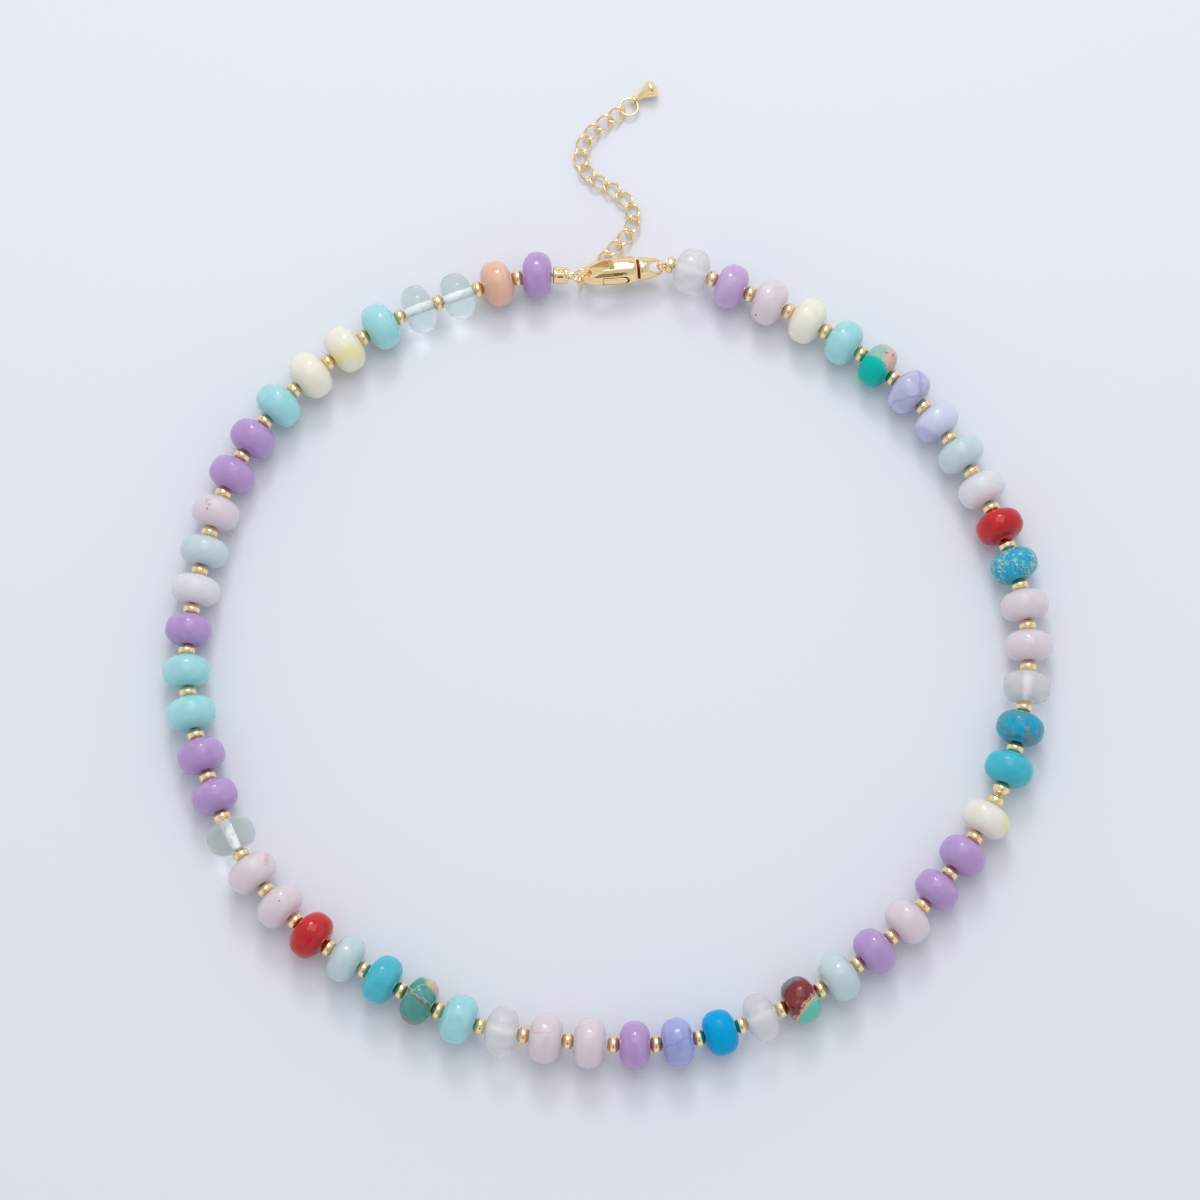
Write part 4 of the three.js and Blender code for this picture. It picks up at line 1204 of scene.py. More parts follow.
class BeadTree:
    """A Geometry Nodes tree that puts one form on every point of a mesh."""

    INPUTS = ("Form", "Surface", "Bore", "Unevenness")

    def __init__(self) -> None:
        """Builds the tree."""
        self.tree = bpy.data.node_groups.new("beads_on_points", "GeometryNodeTree")
        tree = self.tree
        add_socket(tree, "Geometry", "Geometry")
        add_socket(tree, "Form", "Object")
        add_socket(tree, "Surface", "Material")
        add_socket(tree, "Bore", "Material")
        add_socket(tree, "Unevenness", "Float", 0.0)
        add_socket(tree, "Geometry", "Geometry", output=True)
        nodes = Tree(tree)
        outside = nodes.add("NodeGroupInput").outputs
        form = nodes.add("GeometryNodeObjectInfo", {"Object": outside["Form"]}, transform_space="ORIGINAL")
        rotation = nodes.add("FunctionNodeEulerToRotation", {"Euler": nodes.stored("turn")}).outputs[0]
        placed = nodes.geometry("InstanceOnPoints", {
            "Points": outside["Geometry"], "Instance": form.outputs["Geometry"],
            "Rotation": rotation, "Scale": nodes.stored("size"),
        })
        solid = nodes.geometry("RealizeInstances", {"Geometry": placed})
        position = nodes.add("GeometryNodeInputPosition").outputs["Position"]
        place = nodes.vector("SUBTRACT", position, nodes.stored("middle"))
        place = nodes.vector("MULTIPLY", place, (2 / STONE_DIAMETER,) * 3)
        solid = nodes.geometry(
            "StoreNamedAttribute", {"Geometry": solid, "Name": "place", "Value": place},
            data_type="FLOAT_VECTOR", domain="POINT")
        noise = nodes.noise(place, nodes.stored("seed", "FLOAT"), Scale=0.9, Detail=1.0)
        swell = nodes.math("MULTIPLY", nodes.math("SUBTRACT", noise, 0.5), outside["Unevenness"])
        offset = nodes.scaled(nodes.vector("NORMALIZE", place), swell)
        solid = nodes.geometry("SetPosition", {"Geometry": solid, "Offset": offset})
        solid = nodes.geometry("SetMaterial", {"Geometry": solid, "Material": outside["Surface"]})
        solid = nodes.geometry("SetMaterial", {
            "Geometry": solid, "Selection": nodes.stored("bore", "BOOLEAN"), "Material": outside["Bore"],
        })
        nodes.add("NodeGroupOutput", {"Geometry": solid})

    def run(self, name: str, beads: Sequence[Bead], nominal: Corner, form: Piece,
            surface: Surface, bore: Surface, unevenness: float) -> Piece:
        """Puts the form where some beads are, and makes the result a plain mesh.

        Args:
            name: The name of the new piece.
            beads: The beads.
            nominal: The form's own length and diameter.
            form: The form of one bead.
            surface: The material of its outside.
            bore: The material of its drill hole.
            unevenness: How far the surface may swell or sink.

        Returns:
            The piece, in millimetres.
        """
        piece = Workshop.mesh(name, [bead.centre for bead in beads], [])
        data = piece.data
        turns = [value for bead in beads for value in turned_basis(bead.along).to_euler()]
        sizes = [value for bead in beads for value in (
            bead.length / nominal[0], bead.diameter / nominal[1], bead.diameter / nominal[1])]
        middles = [value for bead in beads for value in bead.centre]
        for title, values in (("turn", turns), ("size", sizes), ("middle", middles)):
            data.attributes.new(title, "FLOAT_VECTOR", "POINT").data.foreach_set("vector", values)
        seeds = [float(bead.number) * 3.7 for bead in beads]
        data.attributes.new("seed", "FLOAT", "POINT").data.foreach_set("value", seeds)
        modifier = piece.modifiers.new("beads", "NODES")
        modifier.node_group = self.tree
        values = dict(zip(self.INPUTS, (form, surface, bore, unevenness)))
        for socket in self.tree.interface.items_tree:
            if socket.item_type == "SOCKET" and socket.in_out == "INPUT" and socket.name in values:
                modifier[socket.identifier] = values[socket.name]
        Workshop.bake(piece)
        for title in ("turn", "size", "middle", "bore"):
            if title in piece.data.attributes:
                piece.data.attributes.remove(piece.data.attributes[title])
        return piece


@dataclass
class BeadForms:
    """The turned forms of one stone and one spacer."""

    stone_sides: int = 48
    stone_rows: int = 22
    spacer_sides: int = 32
    spacer_rows: int = 12
    spacer_reach: float = 1.1
    spacer_fullness: float = 2.15
    spacer_bore: float = 0.9

    @staticmethod
    def full_profile(length: float, diameter: float, bore: float, reach: float, fullness: float,
                     rows: int) -> list[Corner]:
        """Draws the closed profile of a rounded bead with a bore.

        Args:
            length: The bead's length along its bore.
            diameter: Its widest diameter.
            bore: The bore's diameter.
            reach: How far past its faces the full curve would go, as a share of half the length.
            fullness: The exponent of the curve; 2 is an ellipse and more is fuller.
            rows: The number of steps along its outside.

        Returns:
            Pairs of a place along the bore and a radius, round the whole profile.
        """
        end = math.asin((1 / reach) ** (fullness / 2))
        outside = []
        for row in range(rows + 1):
            angle = -end + 2 * end * row / rows
            along = math.copysign(abs(math.sin(angle)) ** (2 / fullness), angle)
            radius = math.cos(angle) ** (2 / fullness)
            outside.append((reach * along * length / 2, radius * diameter / 2))
        half = length / 2
        lip = bore / 2 + 0.12
        edge = half - 0.12
        return outside + [(half, lip), (edge, bore / 2), (0.0, bore / 2), (-edge, bore / 2), (-half, lip)]

    def stone(self, name: str, bore: float) -> Piece:
        """Turns one stone of the nominal size, with its bore marked.

        Args:
            name: The form's name.
            bore: The diameter of the drill hole.

        Returns:
            The form, in millimetres.
        """
        profile = self.full_profile(
            STONE_THICKNESS, STONE_DIAMETER, bore, STONE_REACH, STONE_FULLNESS, self.stone_rows)
        form = Workshop.lathe(name, profile, self.stone_sides, True)
        form.data.shade_smooth()
        marked = form.data.attributes.new("bore", "BOOLEAN", "FACE")
        limit = bore / 2 + 0.05
        for face in form.data.polygons:
            marked.data[face.index].value = math.hypot(face.center.y, face.center.z) < limit
        return form

    def spacer(self) -> Piece:
        """Turns one spacer of the nominal size.

        Returns:
            The form, in millimetres.
        """
        profile = self.full_profile(
            SPACER_LENGTH, SPACER_DIAMETER, self.spacer_bore, self.spacer_reach, self.spacer_fullness,
            self.spacer_rows)
        form = Workshop.lathe("spacer_form", profile, self.spacer_sides, True)
        form.data.shade_smooth()
        return form


class BeadString:
    """The stones, the spacers and the thread through them."""

    def __init__(self, layout: StringLayout, groups: Groups,
                 gold: Surface, thread: Surface) -> None:
        """Keeps what the string is made from.

        Args:
            layout: Where the beads lie.
            groups: The shared node groups.
            gold: The spacers' material.
            thread: The material of the thread and of drill holes.
        """
        self.layout = layout
        self.groups = groups
        self.gold = gold
        self.thread = thread
        self.tree = BeadTree()
        self.forms = BeadForms()

    def build(self) -> list[Piece]:
        """Builds every piece of the string.

        Returns:
            The pieces, dressed and riding on the necklace.
        """
        pieces = []
        stone_form = self.forms.stone("stone_form", STONE_BORE)
        glass_form = self.forms.stone("glass_form", GLASS_BORE)
        spacer_form = self.forms.spacer()
        stones = self.layout.of_kind("stone")
        spacers = self.layout.of_kind("spacer")
        sides = (
            ("right", "strand_right", "right_stones", lambda bead: bead.number <= STRAND_SPLIT_AFTER),
            ("left", "strand_left", "left_stones", lambda bead: bead.number > STRAND_SPLIT_AFTER),
        )
        materials = {look: FINISHES[look].material(look.value, self.groups) for look in Look}
        for side, node, slot, belongs in sides:
            for look in Look:
                chosen = [bead for bead in stones if belongs(bead) and STONES[bead.number - 1][0] is look]
                if not chosen:
                    continue
                form = glass_form if look in GLASS_LOOKS else stone_form
                piece = self.tree.run(
                    f"stones_{look.value}_{side}", chosen, (STONE_THICKNESS, STONE_DIAMETER), form,
                    materials[look], self.thread, STONE_UNEVENNESS)
                pieces.append(self._settle(piece, node, slot))
            gold_beads = [bead for bead in spacers if belongs(bead)]
            piece = self.tree.run(
                f"spacers_{side}", gold_beads, (SPACER_LENGTH, SPACER_DIAMETER), spacer_form,
                self.gold, self.gold, 0.0)
            pieces.append(self._settle(piece, node, "gold"))
            line = [bead for bead in self.layout.beads if bead.kind != "crimp" and belongs(bead)]
            pieces.append(self._settle(self._thread(f"thread_{side}", line, side), node, "gold"))
        for form in (stone_form, glass_form, spacer_form):
            bpy.data.objects.remove(form)
        return pieces

    def _thread(self, name: str, line: Sequence[Bead], side: str) -> Piece:
        """Sweeps the thread through some beads.

        Args:
            name: The piece's name.
            line: The beads that it passes through.
            side: Which end of the string it reaches.

        Returns:
            The thread, in millimetres.
        """
        path = []
        for bead in line:
            path.append(bead.centre - bead.along * bead.length / 2)
            path.append(bead.centre + bead.along * bead.length / 2)
        crimp = self.layout.beads[0] if side == "right" else self.layout.beads[-1]
        if side == "right":
            path.insert(0, crimp.centre.copy())
        else:
            path.append(crimp.centre.copy())
        points = np.array([tuple(point) for point in path])
        piece = Workshop.tube(name, points, THREAD_DIAMETER / 2 * THREAD_SHARE, 10, False)
        piece.data.materials.append(self.thread)
        return piece

    @staticmethod
    def _settle(piece: Piece, node: str, slot: str) -> Piece:
        """Finishes a piece of the string and ties it to the frame.

        Args:
            piece: The piece.
            node: The solid that it replaces.
            slot: Not used.

        Returns:
            The same piece.
        """
        Workshop.finish(piece, piece.name)
        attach(piece, "necklace")
        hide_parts(node)
        return piece


@dataclass
class EndFittings:
    """The crimps and the thread loops at the two ends of the string."""

    layout: StringLayout
    gold: Surface
    ring_diameter: float = 3.45
    ring_wire: float = 0.45
    ring_centre: float = 0.45
    ring_drop: float = 0.15
    ring_roll: float = HOOK_ROLL
    eye_thickness: float = 0.8
    eye_wall: float = 0.35
    loop_tilt: float = 30.0
    mark_size: Triple = (0.6, 0.75, 0.24)
    mark_place: float = -0.1
    mark_sink: float = 0.3
    crimp_rim: tuple[Corner, ...] = ((0.0, 0.3), (0.05, 0.15), (0.15, 0.04), (0.28, 0.0), (0.42, 0.0))
    loop_shape: tuple[Corner, ...] = (
        (0.0, 0.0), (0.2, 0.3), (0.5, 0.72), (0.8, 0.95), (0.97, 0.6), (1.0, 0.0),
        (0.97, -0.6), (0.8, -0.95), (0.5, -0.72), (0.2, -0.3),
    )

    def build(self) -> list[Piece]:
        """Builds both crimps, both loops and the clasp's ring.

        Returns:
            The pieces, dressed and riding on the necklace.
        """
        right, left = self.layout.beads[0], self.layout.beads[-1]
        pieces = [
            self._dress(self._bead_crimp(right), "crimp_right_cover", "crimp_right"),
            self._dress(self._tube_crimp(left), "crimp_left_tube", "crimp_left"),
            self._dress(self._right_loop(right), "loop_right", "strand_right"),
            self._dress(self._left_loop(left), "loop_left", "strand_left"),
            self._dress(self._ring(), "ring_on_hook", "clasp_ring"),
        ]
        return pieces

    def _dress(self, piece: Piece, name: str, node: str) -> Piece:
        """Dresses one piece in gold and ties it to the frame.

        Args:
            piece: The piece, in millimetres.
            name: Its new name.
            node: The solid that it replaces.

        Returns:
            The same piece.
        """
        Workshop.finish(piece, name, [self.gold])
        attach(piece, "necklace")
        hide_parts(node)
        return piece

    def _bead_crimp(self, bead: Bead) -> Piece:
        """Turns the short round crimp at the right end.

        Args:
            bead: Where the crimp sits on the string.

        Returns:
            The crimp.
        """
        profile = BeadForms.full_profile(bead.length, bead.diameter, CRIMP_BORE, 1.02, 3.6, 16)
        piece = Workshop.lathe("crimp", profile, 40, True)
        piece.matrix_world = bead.matrix()
        bpy.context.view_layer.update()
        return piece

    def _tube_crimp(self, bead: Bead) -> Piece:
        """Turns the longer crimp at the left end, with a rim at each end and a pressed mark.

        Args:
            bead: Where the crimp sits on the string.

        Returns:
            The crimp.
        """
        half, outer, bore = bead.length / 2, bead.diameter / 2, CRIMP_BORE / 2
        rim = [(half - inwards, outer - lower) for inwards, lower in self.crimp_rim]
        waist = half - 0.52
        profile = [
            *((-along, radius) for along, radius in rim), (-waist, outer - 0.04), (0.0, outer - 0.05),
            (waist, outer - 0.04), *reversed(rim),
            (half, bore + 0.08), (half - 0.1, bore), (-half + 0.1, bore), (-half, bore + 0.08),
        ]
        piece = Workshop.lathe("crimp", profile, 64, True)
        self._press_mark(piece, outer)
        piece.matrix_world = bead.matrix()
        bpy.context.view_layer.update()
        return piece

    def _press_mark(self, piece: Piece, outer: float) -> None:
        """Presses the small V of the closing tool into the top of the left crimp.

        Args:
            piece: The crimp, along its own X axis.
            outer: Its outer radius.
        """
        width, depth, stroke = self.mark_size
        front, back = outer * self.mark_place, outer * self.mark_place + depth
        outline = [(-width, back), (-width + stroke, back), (0.0, front + stroke), (width - stroke, back),
                   (width, back), (0.0, front)]
        mark = Workshop.plate("mark", outline, 1.0, False)
        mark.data.transform(Matrix.Translation((0.0, 0.0, outer + 0.5 - self.mark_sink)))
        Workshop.cut(piece, mark, "DIFFERENCE")

    def _loop(self, root: Vector, tip: Vector, sideways: Vector, half_width: float) -> Piece:
        """Bends a narrow closed loop of thread from its root to its tip.

        Args:
            root: Where the loop leaves the crimp.
            tip: Its far end.
            sideways: The way in which it opens.
            half_width: Half its widest opening.

        Returns:
            The loop, in millimetres.
        """
        along = tip - root
        side = (sideways - along * (sideways.dot(along) / along.length_squared)).normalized()
        places = np.array([
            tuple(root + along * share + side * (width * half_width)) for share, width in self.loop_shape])
        path = SmoothRoute(places, True).points(np.linspace(0, 1, 49)[:-1])
        return Workshop.tube("loop", path, LOOP_THREAD / 2, 12, True)

    def _right_loop(self, crimp: Bead) -> Piece:
        """Bends the loop that goes through the eye of the clasp's tail.

        Args:
            crimp: The right crimp's place.

        Returns:
            The loop.
        """
        frame = clasp_matrix(TAIL_ROLL)
        length = HOOK_LENGTH + SWIVEL_GAP + TAIL_LENGTH
        grip = frame @ Vector((length - self.eye_wall - LOOP_PLAY - LOOP_THREAD / 2, 0.0, 0.0))
        root = crimp.centre - crimp.along * (RIGHT_CRIMP_LENGTH * LOOP_ROOT)
        sideways = frame.to_3x3() @ Matrix.Rotation(-math.radians(self.loop_tilt), 3, "X") @ UP
        return self._loop(root, grip, sideways, self.eye_thickness / 2 + LOOP_PLAY + LOOP_THREAD / 2)

    def ring_point(self, angle: float, inwards: float) -> Vector:
        """Finds a place on the middle line of the ring on the hook, in millimetres.

        Args:
            angle: How far round the ring, in degrees.
            inwards: How far inside its middle line.

        Returns:
            The place.
        """
        radius = (self.ring_diameter - self.ring_wire) / 2 - inwards
        turn = math.radians(angle)
        along, above = radius * math.cos(turn), radius * math.sin(turn)
        local = Vector((self.ring_centre + along, 0.0, -self.ring_drop + above))
        return clasp_matrix(self.ring_roll) @ local

    def _left_loop(self, crimp: Bead) -> Piece:
        """Bends the loop that goes through the ring on the hook.

        Args:
            crimp: The left crimp's place.

        Returns:
            The loop.
        """
        grip = self.ring_point(180.0, self.ring_wire / 2 + LOOP_PLAY + LOOP_THREAD / 2)
        root = crimp.centre + crimp.along * (LEFT_CRIMP_LENGTH * LOOP_ROOT)
        sideways = clasp_matrix(self.ring_roll).to_3x3() @ Vector((0.0, 1.0, 0.0))
        return self._loop(root, grip, sideways, self.ring_wire / 2 + LOOP_PLAY + LOOP_THREAD / 2)

    def _ring(self) -> Piece:
        """Bends the ring that the hook holds."""
        path = np.array([tuple(self.ring_point(angle, 0.0)) for angle in np.linspace(0, 360, 49)[:-1]])
        return Workshop.tube("ring", path, self.ring_wire / 2, 14, True)


@dataclass
class ExtenderChain:
    """The twisted links, the end ring and the drop."""

    fittings: EndFittings
    gold: Surface
    link_count: int = 16
    link_length: float = 3.86
    link_width: float = 2.75
    link_wire: float = 0.46
    link_twist: float = 90.0
    link_play: float = 0.2
    height: float = 1.06
    start_angle: float = -100.0
    roll_carried: tuple[float, ...] = (1.0, 0.8, 0.5, 0.2)
    end_rolls: tuple[float, ...] = (25.0, 10.0)
    under_hook: Triple = (-2.9, 51.1, 1.15)
    ring_diameter: float = 3.6
    ball: float = 1.5
    hole: float = 0.96
    hole_inwards: float = 0.07
    neck: float = 0.6
    drop_diameter: float = 3.1
    drop_length: float = 4.6
    angle_on_ring: float = 57.0
    heading: float = 31.0
    softening: Triple = (0.06, 3, 0.6)
    cone: tuple[Corner, ...] = (
        (0.22, 0.3), (0.36, 0.44), (0.48, 0.62), (0.62, 0.85), (0.72, 0.985), (0.78, 1.0),
        (0.86, 0.93), (0.95, 0.66), (0.99, 0.3),
    )

    def joints(self) -> list[Vector]:
        """Finds where the links meet, along the chain's route.

        Returns:
            One place more than there are links.
        """
        under = Vector(self.under_hook)
        start = self.fittings.ring_point(self.start_angle, 0.0)
        pull = (under - start).normalized()
        start = start - pull * (self.fittings.ring_wire + self.link_play) / 2
        laid = [(x, y, self.height) for x, y in CHAIN_ROUTE]
        route = SmoothRoute(np.array([tuple(start), tuple(under), *laid]))
        step = self.link_length - 2 * self.link_wire - self.link_play
        found = [Vector(route.points(np.array([0.0]))[0])]
        for row in route.points_at(np.arange(1, 6001) / 6000):
            point = Vector(row)
            if (point - found[-1]).length >= step:
                found.append(point)
            if len(found) > self.link_count:
                break
        return found

    def first_roll(self, start: Vector, end: Vector) -> float:
        """Finds the roll that stands the first link square to the ring's wire, in degrees.

        Args:
            start: Where the link begins.
            end: Where it ends.

        Returns:
            The roll.
        """
        basis = turned_basis((end - start).normalized())
        along, across, above = (basis.col[axis] for axis in range(3))
        ahead, behind = (self.fittings.ring_point(self.start_angle + step, 0.0) for step in (1, -1))
        wire = ahead - behind
        facing = along.cross(wire)
        roll = math.degrees(math.atan2(facing.dot(above), facing.dot(across))) + self.link_twist / 2
        return roll - 180 * round(roll / 180)

    def link_tree(self) -> bpy.types.NodeTree:
        """Builds the Geometry Nodes tree that bends one link and repeats it.

        Returns:
            The tree.
        """
        tree = bpy.data.node_groups.new("twisted_links", "GeometryNodeTree")
        add_socket(tree, "Geometry", "Geometry")
        add_socket(tree, "Half Length", "Float", (self.link_length - self.link_wire) / 2)
        add_socket(tree, "Half Width", "Float", (self.link_width - self.link_wire) / 2)
        add_socket(tree, "Wire Radius", "Float", self.link_wire / 2)
        add_socket(tree, "Half Twist", "Float", math.radians(self.link_twist / 2))
        add_socket(tree, "Metal", "Material")
        add_socket(tree, "Geometry", "Geometry", output=True)
        nodes = Tree(tree)
        outside = nodes.add("NodeGroupInput").outputs
        circle = nodes.geometry("CurvePrimitiveCircle", {"Resolution": 48, "Radius": 1.0})
        around = nodes.add("GeometryNodeInputPosition").outputs["Position"]
        parts = nodes.add("ShaderNodeSeparateXYZ", {"Vector": around}).outputs
        tilt = nodes.math("MULTIPLY", parts["X"], outside["Half Twist"])
        wide = nodes.math("MULTIPLY", parts["Y"], outside["Half Width"])
        bent = nodes.add("ShaderNodeCombineXYZ", {
            "X": nodes.math("MULTIPLY", parts["X"], outside["Half Length"]),
            "Y": nodes.math("MULTIPLY", wide, nodes.math("COSINE", tilt)),
            "Z": nodes.math("MULTIPLY", wide, nodes.math("SINE", tilt)),
        }).outputs["Vector"]
        line = nodes.geometry("SetPosition", {"Geometry": circle, "Position": bent})
        section = nodes.geometry(
            "CurvePrimitiveCircle", {"Resolution": 12, "Radius": outside["Wire Radius"]})
        link = nodes.geometry("CurveToMesh", {"Curve": line, "Profile Curve": section})
        link = nodes.geometry("SetShadeSmooth", {"Geometry": link})
        rotation = nodes.add("FunctionNodeEulerToRotation", {"Euler": nodes.stored("turn")}).outputs[0]
        placed = nodes.geometry("InstanceOnPoints", {
            "Points": outside["Geometry"], "Instance": link, "Rotation": rotation,
        })
        solid = nodes.geometry("RealizeInstances", {"Geometry": placed})
        solid = nodes.geometry("SetMaterial", {"Geometry": solid, "Material": outside["Metal"]})
        nodes.add("NodeGroupOutput", {"Geometry": solid})
        return tree

    def build(self) -> list[Piece]:
        """Builds the links, the end ring and the drop.

        Returns:
            The pieces, dressed and riding on the necklace.
        """
        joints = self.joints()
        rolled = self.first_roll(joints[0], joints[1])
        middles, turns = [], []
        for link in range(self.link_count):
            start, end = joints[link], joints[link + 1]
            carried = self.roll_carried[link] if link < len(self.roll_carried) else 0.0
            behind = self.link_count - 1 - link
            ending = self.end_rolls[behind] if behind < len(self.end_rolls) else 0.0
            roll = Matrix.Rotation(math.radians(rolled * carried + ending), 3, "X")
            middles.append((start + end) / 2)
            turns += list((turned_basis((end - start).normalized()) @ roll).to_euler())
        links = Workshop.mesh("chain_links", middles, [])
        links.data.attributes.new("turn", "FLOAT_VECTOR", "POINT").data.foreach_set("vector", turns)
        modifier = links.modifiers.new("links", "NODES")
        modifier.node_group = self.link_tree()
        for socket in modifier.node_group.interface.items_tree:
            if socket.item_type == "SOCKET" and socket.name == "Metal":
                modifier[socket.identifier] = self.gold
        Workshop.bake(links)
        links.data.attributes.remove(links.data.attributes["turn"])
        Workshop.face_outwards(links)
        nodes = [f"chain_link_{link + 1:02d}" for link in range(self.link_count)]
        step = (joints[-1] - joints[-2]).normalized()
        centre = joints[-1] + step * (self.ring_diameter - 2 * self.link_wire - self.link_play) / 2
        angles = np.linspace(0, 2 * math.pi, 49)[:-1]
        radius = (self.ring_diameter - self.link_wire) / 2
        path = np.array([
            (centre.x + radius * math.cos(angle), centre.y + radius * math.sin(angle), centre.z)
            for angle in angles])
        ring = Workshop.tube("end_ring", path, self.link_wire / 2, 14, True)
        pieces = [
            self._dress(links, "chain_links", nodes),
            self._dress(ring, "end_ring", ["chain_ring"]),
            self._dress(self._drop(centre), "end_drop", ["chain_drop"]),
        ]
        return pieces

    def _drop(self, centre: Vector) -> Piece:
        """Turns the drop and drills its ball for the ring.

        Args:
            centre: The middle of the end ring.

        Returns:
            The drop, in millimetres.
        """
        length, radius = self.drop_length, self.drop_diameter / 2
        turn = math.radians(self.angle_on_ring)
        away = Vector((math.cos(turn), math.sin(turn), 0.0))
        ball_at = centre + away * (self.ring_diameter - self.link_wire) / 2
        rise = math.asin((radius - ball_at.z) / (0.76 * length))
        place = (
            Matrix.Translation(ball_at)
            @ Matrix.Rotation(math.radians(self.heading), 4, "Z")
            @ Matrix.Rotation(-rise, 4, "Y")
        )
        places = np.array([
            (-0.01, self.neck / 2, 0), (0.16 * length, self.neck / 2, 0),
            *((share * length, part * radius, 0) for share, part in self.cone), (length, 0.02, 0),
        ])
        smooth = SmoothRoute(places).points(np.linspace(0, 1, 49))
        body = Workshop.lathe("drop", [(row[0], row[1]) for row in smooth], 48, False)
        angles = [math.pi * (0.5 - share / 16) for share in range(17)]
        radius = self.ball / 2
        profile = [(-radius * math.sin(angle), max(radius * math.cos(angle), 0.01)) for angle in angles]
        ball = Workshop.lathe("ball", profile, 40, False)
        Workshop.cut(body, ball, "UNION")
        hole = Workshop.lathe("hole", [(-self.ball, self.hole / 2), (self.ball, self.hole / 2)], 32, False)
        hole_place = (
            Matrix.Translation(ball_at - away * self.hole_inwards)
            @ Matrix.Rotation(turn + math.pi / 2, 4, "Z")
        )
        hole.data.transform(place.inverted() @ hole_place)
        Workshop.cut(body, hole, "DIFFERENCE")
        Workshop.soften(body, *self.softening)
        body.matrix_world = place
        bpy.context.view_layer.update()
        return body

    def _dress(self, piece: Piece, name: str, nodes: Sequence[str]) -> Piece:
        """Dresses one piece in gold and ties it to the frame.

        Args:
            piece: The piece, in millimetres.
            name: Its new name.
            nodes: The solids that it replaces.

        Returns:
            The same piece.
        """
        Workshop.finish(piece, name, [self.gold])
        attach(piece, "necklace")
        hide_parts(*nodes)
        return piece


